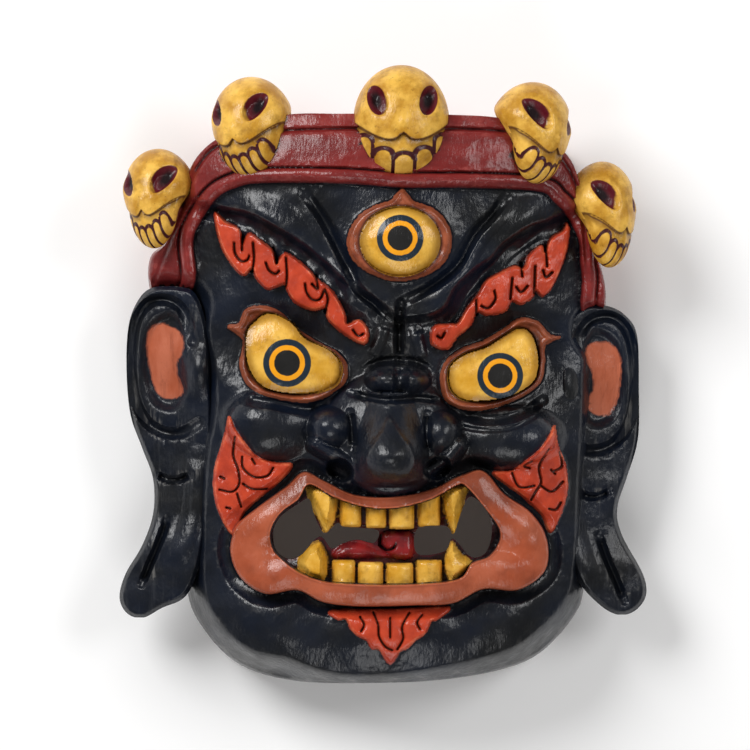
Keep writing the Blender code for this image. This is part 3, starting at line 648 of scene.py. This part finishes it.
def face_heights(across, down):
    face = Relief(across, down)
    face.height = head_form(across, down)
    carve_jaw_sides(face)
    carve_chin(face)
    carve_forehead(face)
    carve_band(face)
    carve_third_eye(face)
    carve_cheeks(face)
    carve_eye(face, EYE_LEFT, LID_LEFT, ((291, 358), (66, 52), 98), (285, 352))
    carve_eye(face, EYE_RIGHT, LID_RIGHT, ((499, 371), (66, 52), 99), (503, 362))
    carve_flame_brows(face)
    carve_nose(face)
    carve_lips(face)
    carve_teeth(face)
    carve_tongue(face)
    carve_small_flames(face)
    work_by_hand(face)
    return face.height


def ear_heights(side):
    """The carving of one ear; side is -1 on the left of the paper and 1 on its right."""
    shift = 0 if side < 0 else RIGHT_EAR_DROP

    def heights(across, down):
        ear = Relief(across, down)
        outer = 117 if side < 0 else 648
        ear.height = 38 + 20 * np.clip(np.abs(across - outer) / 90, 0, 1)
        ear.height += 5 * ease((np.abs(down - 450 - shift) - 60) / 40)
        rim = ear.beyond(EAR_LEFT if side < 0 else EAR_RIGHT)
        ear.height -= 5 * ease((rim + 5) / 6)
        mirrored = across if side < 0 else 2 * MIDDLE[0] - across
        bowl = Relief(mirrored, down - shift)
        bowl.raise_inside(EAR_BOWL, -6, 12)
        bowl.groove(EAR_CHANNEL, 6.5, 8)
        bowl.swell((197, 374), (20, 34), 9)
        bowl.groove(((155, 475), (163, 479), (172, 481), (181, 479), (189, 476)), 4.5, 6)
        bowl.groove(((166, 520), (157, 545), (148, 566), (140, 586)), 5, 7)
        bowl.ridge(((196, 455), (191, 511), (183, 542), (172, 568)), 12, 3)
        return ear.height + bowl.height + 0.5 * uneven(across, down, 18, 11)

    return heights


# Building the carved mesh

def new_object(name, mesh):
    obj = bpy.data.objects.new(name, mesh)
    bpy.context.scene.collection.objects.link(obj)
    return obj


def finish_mesh(name, form, slot, triangles=None):
    """The form as an object whose faces all have one material place, and that many triangles."""
    mesh = bpy.data.meshes.new(name)
    bmesh.ops.recalc_face_normals(form, faces=form.faces[:])
    drawn = sum(len(face.verts) - 2 for face in form.faces)
    form.to_mesh(mesh)
    form.free()
    for material in materials:
        mesh.materials.append(material)
    mesh.polygons.foreach_set("material_index", [slot] * len(mesh.polygons))
    obj = new_object(name, mesh)
    if triangles and triangles < drawn:
        fewer = obj.modifiers.new("fewer faces", "DECIMATE")
        fewer.ratio = triangles / drawn
        settle(obj)
    return obj


def settle(obj):
    """Makes an object's modifiers part of its mesh."""
    bpy.context.view_layer.update()
    graph = bpy.context.evaluated_depsgraph_get()
    mesh = bpy.data.meshes.new_from_object(obj.evaluated_get(graph))
    obj.modifiers.clear()
    obj.data = mesh


def edge_reach(outline, centre, angles):
    """How far an outline is from a centre in each direction."""
    line = smooth(outline) - np.array(centre)
    turn = np.arctan2(line[:, 1], line[:, 0])
    order = np.argsort(turn)
    return np.interp(angles, turn[order], np.hypot(*line.T)[order], period=2 * np.pi)


def grid(columns, rows):
    """A flat grid from -1 to 1, and its points."""
    form = bmesh.new()
    bmesh.ops.create_grid(form, x_segments=columns, y_segments=rows, size=1.0)
    return form, np.array([vert.co[:2] for vert in form.verts])


def carved_block(name, outline, cells, heights, foot, draft, slot, triangles=None):
    """A grid stretched to an outline and raised to heights, with sides down to its foot."""
    form, flat = grid(cells, cells)
    reach = np.abs(flat).max(axis=1)
    angles = np.arctan2(-flat[:, 1], flat[:, 0])
    radius = reach * edge_reach(outline, HEAD_CENTRE, angles)
    across = HEAD_CENTRE[0] + radius * np.cos(angles)
    down = HEAD_CENTRE[1] + radius * np.sin(angles)
    raise_grid(form, across, down, heights(across, down))
    add_sides(form, lambda point: foot, draft, place(*HEAD_CENTRE))
    return finish_mesh(name, form, slot, triangles)


def raise_grid(form, across, down, rises):
    points = np.column_stack(place(across, down, rises))
    for vert, point in zip(form.verts, points):
        vert.co = point


def add_sides(form, foot, draft, centre):
    """Carries the open edge of a carved sheet down to its foot and closes it underneath."""
    rim = [edge for edge in form.edges if edge.is_boundary]
    made = bmesh.ops.extrude_edge_only(form, edges=rim)["geom"]
    for vert in (item for item in made if isinstance(item, bmesh.types.BMVert)):
        outward = Vector((vert.co.x - centre[0], vert.co.y - centre[1], 0)).normalized()
        vert.co += outward * draft
        vert.co.z = foot(vert.co)
    rim = [edge for edge in form.edges if edge.is_boundary]
    bmesh.ops.contextual_create(form, geom=rim)


def row_crossings(line, level):
    found = []
    for (x0, y0), (x1, y1) in zip(line, np.roll(line, -1, axis=0)):
        if (y0 > level) != (y1 > level):
            found.append(x0 + (x1 - x0) * (level - y0) / (y1 - y0))
    return sorted(found)


def ear_block(name, outline, heights):
    """A grid whose rows run from the ear's outer edge to its root in the head."""
    line = smooth(outline)
    form, flat = grid(*EAR_CELLS)
    top, foot = line[:, 1].min() + 0.5, line[:, 1].max() - 0.5
    down = top + (foot - top) * 0.5 * (1 - np.sin(flat[:, 1] * np.pi / 2))
    left, right = np.empty(len(down)), np.empty(len(down))
    for level in np.unique(down):
        crossings = row_crossings(line, level)
        left[down == level] = crossings[0]
        right[down == level] = crossings[-1]
    across = left + (right - left) * 0.5 * (1 + flat[:, 0])
    raise_grid(form, across, down, heights(across, down))

    def back(point):
        leaning = 38 + 20 * (265 - min(abs(point.x) / SQUARE, 175)) / 90
        return leaning * RISE - EAR_THICKNESS

    add_sides(form, back, 0.0, place(*line.mean(axis=0)))
    return finish_mesh(name, form, PAINTED_EAR, EAR_TRIANGLES)


def skull_mouth(x):
    """The level of a skull's mouth line: two lobes under the cheeks and a peak under the nose."""
    cheeks = 0.55 * np.clip(np.abs(x) - 0.3, 0, 1) ** 1.6
    return -0.33 + 0.12 * np.exp(-(x / 0.12) ** 2) + cheeks


def skull_socket(x, y, side, narrow):
    """0 at the middle of a skull's eye socket and 1 on its edge."""
    lean = side * (0.15 + 0.6 * narrow) * (y - SKULL_EYE[1])
    across = (x - side * SKULL_EYE[0] - lean) / (0.19 + 0.2 * narrow)
    return np.hypot(across, (y - SKULL_EYE[1]) / 0.26)


def skull_seam(x, y, narrow):
    """How far a place on a skull's front is from the lines round its teeth."""
    nearest = np.full(np.shape(x), 9.0)
    edges = TURNED_TOOTH_EDGES if narrow > 0 else SKULL_TOOTH_EDGES
    for left, right in zip(edges, edges[1:]):
        middle, half = (left + right) / 2, (right - left) / 2
        foot = 0.5 * middle ** 2 - 0.56 - SKULL_ARCH
        arch = np.abs(np.hypot((x - middle) / half, (y - foot) / SKULL_ARCH) - 1) * SKULL_ARCH
        sides = np.abs(np.abs(x - middle) - half)
        between = np.abs(x - middle) < half + 0.05
        line = np.where(y > foot, arch, sides)
        nearest = np.where(between, np.minimum(nearest, line), nearest)
    return nearest


def skull_jaw(y, narrow):
    """The shares of its width and depth that a skull keeps at a level, and how far it stands forward."""
    drawn_in = narrow * ease((0.35 - y) / 0.7)
    return 1 - drawn_in, 1 - 1.2 * drawn_in, 1.3 * drawn_in + 0.12 * ease((0.1 - y) / 1.1)


def skull_depth(x, y, narrow):
    """How deep a skull's ball is cut at a place on its front, as a share of its size."""
    depth = sum(0.2 * ease((1.1 - skull_socket(x, y, side, narrow)) / 0.35) for side in (-1, 1))
    under = skull_mouth(x) - y
    depth += np.where(under > 0, 0.11 * ease(under / 0.03) * np.exp(-under / 0.16), 0.0)
    depth += 0.035 * ease(1 - skull_seam(x, y, narrow) / 0.05) * ease(under / 0.1)
    nose = np.hypot(x / 0.1, (y + 0.02) / 0.12)
    return depth - 0.03 * ease(1.2 - nose)


def skull_frame(centre, rise, radii, turn, lean, narrow):
    """The matrix that carries a skull's own unit ball to its place on the mask."""
    size = Matrix.Diagonal(Vector((*(r * SQUARE for r in radii), 1)))
    lean_over = Matrix.Rotation(np.radians(lean), 4, "Z")
    face_out = Matrix.Rotation(np.radians(turn), 4, "Y")
    return Matrix.Translation(place(*centre, rise)) @ lean_over @ face_out @ size


def skull(name, pose):
    """A small skull: a ball with sunk eyes, a mouth line and teeth, and its jaw pushed forward."""
    form = bmesh.new()
    around, rings = SKULL_CELLS
    bmesh.ops.create_uvsphere(form, u_segments=around, v_segments=rings, radius=1.0)
    bmesh.ops.rotate(form, matrix=Matrix.Rotation(np.pi / 2, 3, "X"), verts=form.verts)
    points = np.array([vert.co for vert in form.verts])
    x, y, z = points.T
    narrow = pose[-1]
    width, thickness, forward = skull_jaw(y, narrow)
    points *= (1 - skull_depth(x, y, narrow) * ease(z / 0.2))[:, None]
    points[:, 0] *= width
    points[:, 2] = points[:, 2] * thickness + forward
    for vert, point in zip(form.verts, points):
        vert.co = point
    form.transform(skull_frame(*pose))
    return finish_mesh(name, form, GILT_SKULL, SKULL_TRIANGLES)


def cut_through(name, outline):
    """A cutter that passes through the mask along Z."""
    form = bmesh.new()
    line = smooth(outline)
    points = [form.verts.new(place(x, y, -RISES_DEEP)) for x, y in line]
    sheet = form.faces.new(points)
    upper = bmesh.ops.extrude_face_region(form, geom=[sheet])["geom"]
    raised = [item for item in upper if isinstance(item, bmesh.types.BMVert)]
    bmesh.ops.translate(form, vec=(0, 0, 3 * RISES_DEEP * RISE), verts=raised)
    return finish_mesh(name, form, MOUTH_WALL)


def hollow_heights(across, down):
    """The inside of the mask: the plain block's form a wall lower, rounded off towards the rim."""
    inside = Relief(across, down)
    inside.swell((388, 430), (80, 90), 18)
    vault = head_form(across, down) + inside.height - WALL / RISE - 2
    depth = np.clip((-inside.beyond(HEAD, 400) * SQUARE - RIM_WIDTH) / VAULT_ROUNDING, 0, 1)
    gouged = 1.2 * uneven(across, down, 12, 21)
    return vault * np.sqrt(1 - (1 - depth) ** 2) + gouged


def shrunk(outline, by):
    """The outline drawn in by that many squares towards the head's centre."""
    arms = np.array(outline, float) - HEAD_CENTRE
    lengths = np.hypot(*arms.T)[:, None]
    return HEAD_CENTRE + arms * (1 - by / lengths)


def combine(obj, other, operation):
    modifier = obj.modifiers.new(f"{operation.lower()} {other.name}", "BOOLEAN")
    modifier.operation = operation
    modifier.object = other
    modifier.solver = "MANIFOLD"


def carved_mask():
    """The whole mask as one closed mesh that fills the frame's solid."""
    mask = carved_block("mask_carving", HEAD, FACE_CELLS, face_heights, 0.0, SIDE_DRAFT,
                        PAINTED_FACE, FACE_TRIANGLES)
    added = [
        ear_block("left ear", EAR_LEFT, ear_heights(-1)),
        ear_block("right ear", EAR_RIGHT, ear_heights(1)),
    ]
    added += [skull(f"skull {number}", pose) for number, pose in enumerate(SKULLS, 1)]
    cut = [
        carved_block("hollow", shrunk(HEAD, RIM_WIDTH / SQUARE), HOLLOW_CELLS, hollow_heights,
                     HOLLOW_FOOT, 0.0, BARE_INSIDE),
        cut_through("mouth left", MOUTH_LEFT),
        cut_through("mouth right", MOUTH_RIGHT),
    ]
    for other in added:
        combine(mask, other, "UNION")
    for other in cut:
        combine(mask, other, "DIFFERENCE")
    settle(mask)
    for other in added + cut:
        bpy.data.objects.remove(other)
    fit_to_solid(mask.data)
    return mask


def mesh_points(mesh):
    points = np.empty(len(mesh.vertices) * 3)
    mesh.vertices.foreach_get("co", points)
    return points.reshape(-1, 3)


def fit_to_solid(mesh):
    """Stretches the mesh by the hair's breadth that makes its box the solid's."""
    points = mesh_points(mesh)
    low, high = points.min(axis=0), points.max(axis=0)
    share = (points - low) / (high - low)
    points = np.array(LOW) + share * (np.array(HIGH) - np.array(LOW))
    mesh.vertices.foreach_set("co", points.ravel())
    mesh.update()


# What the paint needs to know at each point of the mesh

def proud_of_smooth(mesh, rounds):
    """How far each point stands above the surface smoothed that many times, in rises."""
    points = mesh_points(mesh)
    normals = np.empty(points.size)
    mesh.vertex_normals.foreach_get("vector", normals)
    edges = np.empty(len(mesh.edges) * 2, int)
    mesh.edges.foreach_get("vertices", edges)
    a, b = edges.reshape(-1, 2).T
    count = np.bincount(a, minlength=len(points)) + np.bincount(b, minlength=len(points))
    smoothed = points.copy()
    for _ in range(rounds):
        total = np.zeros_like(smoothed)
        for axis in range(3):
            total[:, axis] = np.bincount(a, smoothed[b, axis], len(points))
            total[:, axis] += np.bincount(b, smoothed[a, axis], len(points))
        smoothed = 0.5 * smoothed + 0.5 * total / count[:, None]
    return np.einsum("ij,ij->i", points - smoothed, normals.reshape(-1, 3)) / RISE


def mark_paint(mesh):
    """Keeps, as attributes, how far each point is from the edge of each painted shape."""
    points = mesh_points(mesh)
    across = points[:, 0] / SQUARE + MIDDLE[0]
    down = MIDDLE[1] - points[:, 1] / SQUARE
    face = Relief(across, down)

    reach = 20
    third_radius = 36

    def nearest(*outlines):
        return np.minimum.reduce([face.beyond(outline, reach) for outline in outlines])

    third_eye = (np.sqrt(face.rounding(*THIRD_EYE)) - 1) * third_radius
    inside_mouth = face.beyond(LIPS_INSIDE)
    marks = {
        "band": -face.beyond(BAND_INSIDE),
        "lips": np.maximum(face.beyond(LIPS_OUTSIDE), -inside_mouth),
        "flames": nearest(*FLAME_BROWS, *SMALL_FLAMES),
        "eyes": np.minimum(nearest(EYE_LEFT, EYE_RIGHT), third_eye),
        "teeth": np.minimum.reduce([nearest(*FANGS)] + [tooth_edge(face, *tooth) for tooth in TEETH]),
        "mouth": inside_mouth,
        "lids": nearest(THIRD_LID, LID_LEFT, LID_RIGHT),
        "tongue": nearest(TONGUE, TONGUE_CURL),
        "patch": nearest(EAR_PATCH_LEFT, EAR_PATCH_RIGHT),
        "iris": np.minimum.reduce([np.hypot(across - x, down - y) / radius for (x, y), radius in IRISES]),
        "lines": face.from_lines(FLAME_LINES + CHEEK_LINES + CHIN_LINES + (TONGUE_LINE,)),
        "level": points[:, 2] / RISE,
        "down": down,
        "fine": proud_of_smooth(mesh, 4),
        "broad": proud_of_smooth(mesh, 30),
        **skull_marks(points),
    }
    for name, values in marks.items():
        layer = mesh.attributes.new(name, "FLOAT", "POINT")
        layer.data.foreach_set("value", np.asarray(values, np.float32))


def skull_marks(points):
    """How far each point of a skull is from its eye sockets and from its mouth and tooth lines."""
    far = 9.0
    sockets = np.full(len(points), far)
    seams = np.full(len(points), far)
    mouths = np.full(len(points), -far)
    for pose in SKULLS:
        back = np.array(skull_frame(*pose).inverted())
        x, y, z = (points @ back[:3, :3].T + back[:3, 3]).T
        mine = (x ** 2 + y ** 2 + z ** 2 < 2.2) & (z > 0)
        narrow = pose[-1]
        x = x / skull_jaw(y, narrow)[0]
        for side in (-1, 1):
            socket = skull_socket(x, y, side, narrow)
            sockets = np.where(mine, np.minimum(sockets, socket), sockets)
        seams = np.where(mine, np.minimum(seams, skull_seam(x, y, narrow)), seams)
        mouths = np.where(mine, skull_mouth(x) - y, mouths)
    return {"mouths": mouths, "sockets": sockets, "seams": seams}


# Paint

class Paint:
    """A material built up from colours laid over one another."""

    def __init__(self, name, roughness, coat):
        self.material = bpy.data.materials.new(name)
        self.material.use_nodes = True
        self.tree = self.material.node_tree
        self.shader = self.tree.nodes["Principled BSDF"]
        self.shader.inputs["Coat Weight"].default_value = coat
        self.shader.inputs["Coat Roughness"].default_value = 0.18
        self.shader.inputs["Specular IOR Level"].default_value = 0.15
        self.place = self.node("ShaderNodeTexCoord").outputs["Object"]
        self.colour = None
        self.roughness = roughness

    def node(self, kind, inputs=None, **settings):
        """Adds a node with its settings, and feeds the inputs that are named."""
        made = self.tree.nodes.new(kind)
        for name, value in settings.items():
            setattr(made, name, value)
        for name, value in (inputs or {}).items():
            self.feed(made.inputs[name], value)
        return made

    def feed(self, socket, value):
        """Gives a socket its value: a number, another node's output or the name of a mark on the mesh."""
        if isinstance(value, str):
            value = self.node("ShaderNodeAttribute", attribute_name=value).outputs["Fac"]
        if isinstance(value, bpy.types.NodeSocket):
            self.tree.links.new(value, socket)
        else:
            socket.default_value = value

    def sum(self, operation, a, b, clamp=False):
        made = self.node("ShaderNodeMath", {0: a, 1: b}, operation=operation, use_clamp=clamp)
        return made.outputs[0]

    def noise(self, size, detail, stretch=(1, 1, 1), rough=0.55):
        """Noise between 0 and 1 with lumps about that many metres wide."""
        mapping = self.node("ShaderNodeMapping", {"Vector": self.place, "Scale": stretch})
        made = self.node("ShaderNodeTexNoise", {
            "Vector": mapping.outputs[0], "Scale": 1 / size, "Detail": detail, "Roughness": rough})
        return made.outputs["Fac"]

    def between(self, value, low, high, low_out=0.0, high_out=1.0):
        """Maps low to high onto two outputs, eased, and holds still beyond them."""
        made = self.node("ShaderNodeMapRange", {
            "Value": value, "From Min": low, "From Max": high, "To Min": low_out, "To Max": high_out,
        }, interpolation_type="SMOOTHSTEP")
        return made.outputs[0]

    def inside(self, name, edge=0.0, soft=0.8, wobble=1.2):
        """1 inside a marked shape, with a hand-painted edge."""
        wander = self.sum("MULTIPLY", self.sum("SUBTRACT", self.noise(0.006, 2), 0.5), wobble)
        value = self.sum("ADD", name, wander)
        return self.between(value, edge - soft, edge + soft, 1.0, 0.0)

    def mix(self, share, under, over):
        colours = {"Factor": share, 6: self.tone(under), 7: self.tone(over)}
        return self.node("ShaderNodeMix", colours, data_type="RGBA").outputs[2]

    def lay(self, colour, *shares):
        """Lays a colour, or another mix, over what is there, as thickly as the product of the shares."""
        self.colour = self.mix(self.times(*shares), self.colour, colour) if shares else colour

    def tone(self, colour):
        if isinstance(colour, bpy.types.NodeSocket):
            return colour
        made = self.node("ShaderNodeRGB")
        made.outputs[0].default_value = linear(colour)
        return made.outputs[0]

    def mottled(self, dark, light, size, stretch=(1, 1, 1)):
        """A tone that drifts between two colours."""
        return self.mix(self.between(self.noise(size, 5, stretch), 0.3, 0.7), dark, light)

    def times(self, *shares):
        value = shares[0]
        for share in shares[1:]:
            value = self.sum("MULTIPLY", value, share, True)
        return value

    def finish(self, grain=None):
        """Joins the colour, a drifting roughness and the brush marks to the shader."""
        self.feed(self.shader.inputs["Base Color"], self.tone(self.colour))
        drift = self.noise(0.018, 4)
        rough = self.between(drift, 0.3, 0.7, self.roughness - 0.12, self.roughness + 0.14)
        self.feed(self.shader.inputs["Roughness"], rough)
        strokes = self.noise(0.0032, 4, (1.6, 0.7, 1.0))
        height = self.sum("ADD", strokes, self.sum("MULTIPLY", self.noise(0.011, 2), 1.6))
        if grain:
            height = self.sum("ADD", height, grain)
        bumped = self.node("ShaderNodeBump", {"Distance": 0.0005, "Strength": 0.7, "Height": height})
        for name in ("Normal", "Coat Normal"):
            self.feed(self.shader.inputs[name], bumped.outputs[0])
        return self.material


def linear(colour):
    """A colour, given 0 to 255, as the shader's light values."""
    parts = [c / 255 for c in colour]
    return (*((c / 12.92 if c <= 0.04045 else ((c + 0.055) / 1.055) ** 2.4) for c in parts), 1)


BLACK_BLUE, NAVY, WORN_GREY, STREAK_GREY = (14, 15, 17), (13, 21, 36), (104, 102, 99), (58, 60, 64)
MAROON, MAROON_DARK, MAROON_WORN = (128, 38, 35), (100, 26, 26), (166, 82, 76)
FLAME, FLAME_DULL, FLAME_PALE, FLAME_DARK = (196, 68, 38), (164, 52, 30), (226, 118, 80), (84, 30, 20)
LIP, LIP_PALE, LIP_DARK = (156, 71, 41), (180, 94, 64), (98, 43, 27)
GOLD, GOLD_PALE, GOLD_STAIN_AND_SHADE, GOLD_OLIVE = (206, 148, 34), (236, 186, 82), (98, 62, 13), (142, 98, 22)
LID, LID_PALE, LID_DARK = (104, 46, 26), (160, 84, 54), (60, 26, 16)
GOLD_WORN = (180, 126, 30)
TONGUE_RED, TONGUE_DARK, GUM_RED = (132, 26, 28), (86, 15, 20), (66, 19, 27)
SOCKET_RED, SOCKET_BLACK, SEAM_RED = (86, 18, 28), (24, 8, 12), (62, 20, 26)
IRIS_BLACK, IRIS_ORANGE, PUPIL = (26, 40, 52), (238, 158, 20), (28, 27, 26)
PATCH, PATCH_PALE, PATCH_DARK = (164, 80, 50), (184, 102, 74), (108, 49, 32)
SHADE, MOUTH_SHADE = (8, 8, 10), (22, 10, 12)
WOOD, WOOD_DARK = (158, 120, 82), (104, 74, 48)


def paint_face():
    paint = Paint("painted_face", 0.42, 0.5)
    crest = paint.between("fine", 0.1, 0.4)
    hollow = paint.between("fine", -0.08, -0.4)
    scuffed = paint.between(paint.noise(0.012, 6, rough=0.7), 0.45, 0.7)
    mottle = paint.between(paint.noise(0.022, 6), 0.5, 0.72)

    paint.lay(paint.mottled(BLACK_BLUE, NAVY, 0.06))
    paint.lay(WORN_GREY, crest, scuffed, 0.5)

    band = paint.inside("band")
    paint.lay(paint.mottled(MAROON_DARK, MAROON, 0.02, (0.3, 1.5, 1)), band)
    paint.lay(MAROON_WORN, band, crest, scuffed, 0.5)
    paint.lay(MOUTH_SHADE, band, paint.between("fine", -0.15, -0.6), 0.8)

    flames = paint.inside("flames", 0.4, 0.5, 0.8)
    paint.lay(paint.mottled(FLAME_DULL, FLAME, 0.012), flames)
    paint.lay(FLAME_PALE, flames, paint.between("flames", -2.6, -0.8), scuffed, 0.9)
    # Painted shade: the flames darken in their hollows.
    paint.lay(FLAME_DARK, flames, hollow, 0.6)
    paint.lay(LID_DARK, flames, paint.between("lines", 1.5, 0.6), 0.9)

    lids = paint.inside("lids", 0.3, 0.5, 0.5)
    paint.lay(paint.mottled(LID, LID_PALE, 0.012), lids)
    paint.lay(LID_PALE, lids, paint.between("lids", -1.6, -0.4), 0.9)
    paint.lay(LID_DARK, lids, paint.between("eyes", 3.6, 0.8), 0.85)

    lips = paint.times(paint.inside("lips", 0.2, 0.4, 0.4), paint.between("mouth", -1.6, -1.1))
    paint.lay(paint.mottled(LIP, LIP_PALE, 0.03), lips)
    paint.lay(LIP_DARK, lips, mottle, 0.35)
    # Darker towards the mouth's opening, and on the upper lip.
    paint.lay(LIP_DARK, lips, paint.between("mouth", 4.5, -0.6), 0.7)
    paint.lay(LIP_DARK, lips, paint.between("down", 516, 498), 0.55)
    paint.lay(LIP_PALE, lips, paint.between("lips", -2.2, -0.6), crest, 0.9)

    mouth = paint.between("mouth", -1.2, -1.7)
    paint.lay(GUM_RED, mouth)
    paint.lay(MOUTH_SHADE, mouth, paint.between("level", 82, 74))
    tongue = paint.times(mouth, paint.inside("tongue", 0.0, 0.6, 0.5))
    paint.lay(paint.mottled(TONGUE_DARK, TONGUE_RED, 0.01), tongue)
    paint.lay(SOCKET_BLACK, tongue, paint.between("lines", 1.8, 0.8), 0.9)

    teeth = paint.times(mouth, paint.inside("teeth", 0.1, 0.4, 0.4))
    eyes = paint.inside("eyes", 0.0, 0.5, 0.5)
    gold = paint.sum("MAXIMUM", teeth, eyes)
    paint.lay(paint.mottled(GOLD, GOLD_PALE, 0.016), gold)
    aged = paint.between(paint.noise(0.007, 7, rough=0.7), 0.5, 0.75)
    paint.lay(GOLD_OLIVE, gold, aged, 0.6)
    paint.lay(GOLD_OLIVE, eyes, paint.between("eyes", -10, -1), 0.8)
    paint.lay(LID_DARK, eyes, paint.between("eyes", -2.6, 0), mottle, 0.9)
    # Painted shade: the gold of the eyes and teeth darkens in their hollows.
    paint.lay(GOLD_STAIN_AND_SHADE, eyes, hollow, 0.6)
    paint.lay(GOLD_STAIN_AND_SHADE, teeth, paint.between("fine", -0.3, -1.4), 0.35)

    paint.lay(IRIS_BLACK, paint.between("iris", 1.02, 0.98))
    paint.lay(IRIS_ORANGE, paint.between("iris", 0.765, 0.73))
    paint.lay(PUPIL, paint.between("iris", 0.56, 0.525))

    bright = paint.sum("MAXIMUM", gold, paint.sum("MAXIMUM", lips, flames))
    paint.lay(SHADE, paint.between("broad", -0.6, -3.5), paint.sum("SUBTRACT", 1.0, bright), 0.75)
    return paint.finish()


def paint_ear():
    paint = Paint("painted_ear", 0.42, 0.4)
    grain = paint.noise(0.004, 5, (1.0, 0.09, 1.0), 0.7)
    streaks = paint.between(grain, 0.5, 0.72)
    crest = paint.between("fine", 0.12, 0.5)
    paint.lay(paint.mottled(BLACK_BLUE, NAVY, 0.05))
    paint.lay(STREAK_GREY, streaks, 0.4)
    paint.lay(WORN_GREY, crest, streaks, 0.8)
    patch = paint.inside("patch", 0.0, 1.0, 1.6)
    paint.lay(paint.mottled(PATCH, PATCH_PALE, 0.012, (1, 0.3, 1)), patch)
    paint.lay(PATCH_DARK, patch, streaks, 0.5)
    paint.lay(SHADE, paint.between("broad", -0.6, -3.5), 0.8)
    return paint.finish(grain=grain)


def paint_skull():
    paint = Paint("gilt_skull", 0.42, 0.35)
    paint.lay(paint.mottled(GOLD_WORN, GOLD_PALE, 0.014))
    aged = paint.between(paint.noise(0.012, 7, rough=0.7), 0.48, 0.72)
    paint.lay(GOLD_OLIVE, aged, 0.65)
    speckled = paint.between(paint.noise(0.0022, 4), 0.62, 0.72)
    paint.lay(GOLD_STAIN_AND_SHADE, speckled, 0.4)
    # Painted shade: the gold darkens in the skull's broad hollows.
    paint.lay(GOLD_STAIN_AND_SHADE, paint.between("broad", -0.2, -2.5), 0.7)
    paint.lay(SEAM_RED, paint.between("mouths", -0.035, 0.0), paint.between("mouths", 0.05, 0.015), 0.85)
    # Painted shade: the gold darkens just under the mouth line and fades downwards.
    paint.lay(GOLD_STAIN_AND_SHADE, paint.between("mouths", -0.01, 0.03), paint.between("mouths", 0.2, 0.04), 0.6)
    paint.lay(SEAM_RED, paint.between("seams", 0.05, 0.03), paint.between("mouths", 0.0, 0.05))
    paint.lay(SOCKET_RED, paint.between("sockets", 1.06, 0.98))
    paint.lay(SOCKET_BLACK, paint.between("sockets", 0.85, 0.3))
    return paint.finish()


def bare_wood():
    paint = Paint("inside_wood", 0.6, 0.0)
    grain = paint.noise(0.004, 6, (1.0, 0.06, 1.0), 0.65)
    paint.lay(WOOD)
    paint.lay(WOOD_DARK, paint.between(grain, 0.4, 0.65))
    return paint.finish(grain=grain)


def mouth_wall():
    paint = Paint("mouth_wall", 0.45, 0.2)
    paint.lay(paint.mottled(MOUTH_SHADE, GUM_RED, 0.01))
    return paint.finish()


# The stage

def floor():
    bpy.ops.mesh.primitive_plane_add(size=8.0, location=(0, 0, LOW.z - 0.0005))
    sheet = bpy.context.object
    sheet.name = "floor"
    material = bpy.data.materials.new("pale floor")
    material.use_nodes = True
    shader = material.node_tree.nodes["Principled BSDF"]
    shader.inputs["Base Color"].default_value = (0.97, 0.97, 0.97, 1)
    shader.inputs["Roughness"].default_value = 0.9
    shader.inputs["Emission Color"].default_value = (1.0, 0.86, 0.78, 1)
    shader.inputs["Emission Strength"].default_value = 0.03
    sheet.data.materials.append(material)


def soft_light(name, place, size, power):
    lamp = bpy.data.lights.new(name, "AREA")
    lamp.shape = "DISK"
    lamp.size = size
    lamp.energy = power
    obj = new_object(name, lamp)
    obj.location = place
    obj.rotation_euler = (Vector((0, 0, 0.05)) - Vector(place)).to_track_quat("-Z", "Y").to_euler()


def studio():
    world = bpy.data.worlds.new("studio")
    bpy.context.scene.world = world
    world.use_nodes = True
    sky = world.node_tree.nodes["Background"]
    sky.inputs["Color"].default_value = (1, 1, 1, 1)
    sky.inputs["Strength"].default_value = 0.2
    soft_light("left softbox", (-1.3, 1.2, 1.6), 1.2, 46)
    soft_light("right softbox", (1.5, 0.7, 1.6), 1.0, 17)
    soft_light("foot softbox", (0.0, -1.9, 1.9), 1.4, 18)
    bpy.context.scene.view_settings.view_transform = "Standard"


def camera():
    """A long lens straight above the face, with the frame that the photograph has."""
    distance = 5.0
    eye_rises = 90
    data = bpy.data.cameras.new("camera")
    data.lens = data.sensor_width * distance / (PAPER_WIDTH * SQUARE)
    obj = new_object("camera", data)
    obj.location = Vector(place(PAPER_WIDTH / 2, PAPER_WIDTH / 2, eye_rises)) + Vector((0, 0, distance))
    bpy.context.scene.camera = obj


materials = [
    paint_face(),
    paint_ear(),
    paint_skull(),
    bare_wood(),
    mouth_wall(),
]
mask = carved_mask()
mark_paint(mask.data)
mask.data.shade_smooth()
mask.data.set_sharp_from_angle(angle=math.radians(60))
print("carving has", sum(len(p.vertices) - 2 for p in mask.data.polygons), "triangles")
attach(mask, "root")
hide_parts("mask")

floor()
studio()
camera()
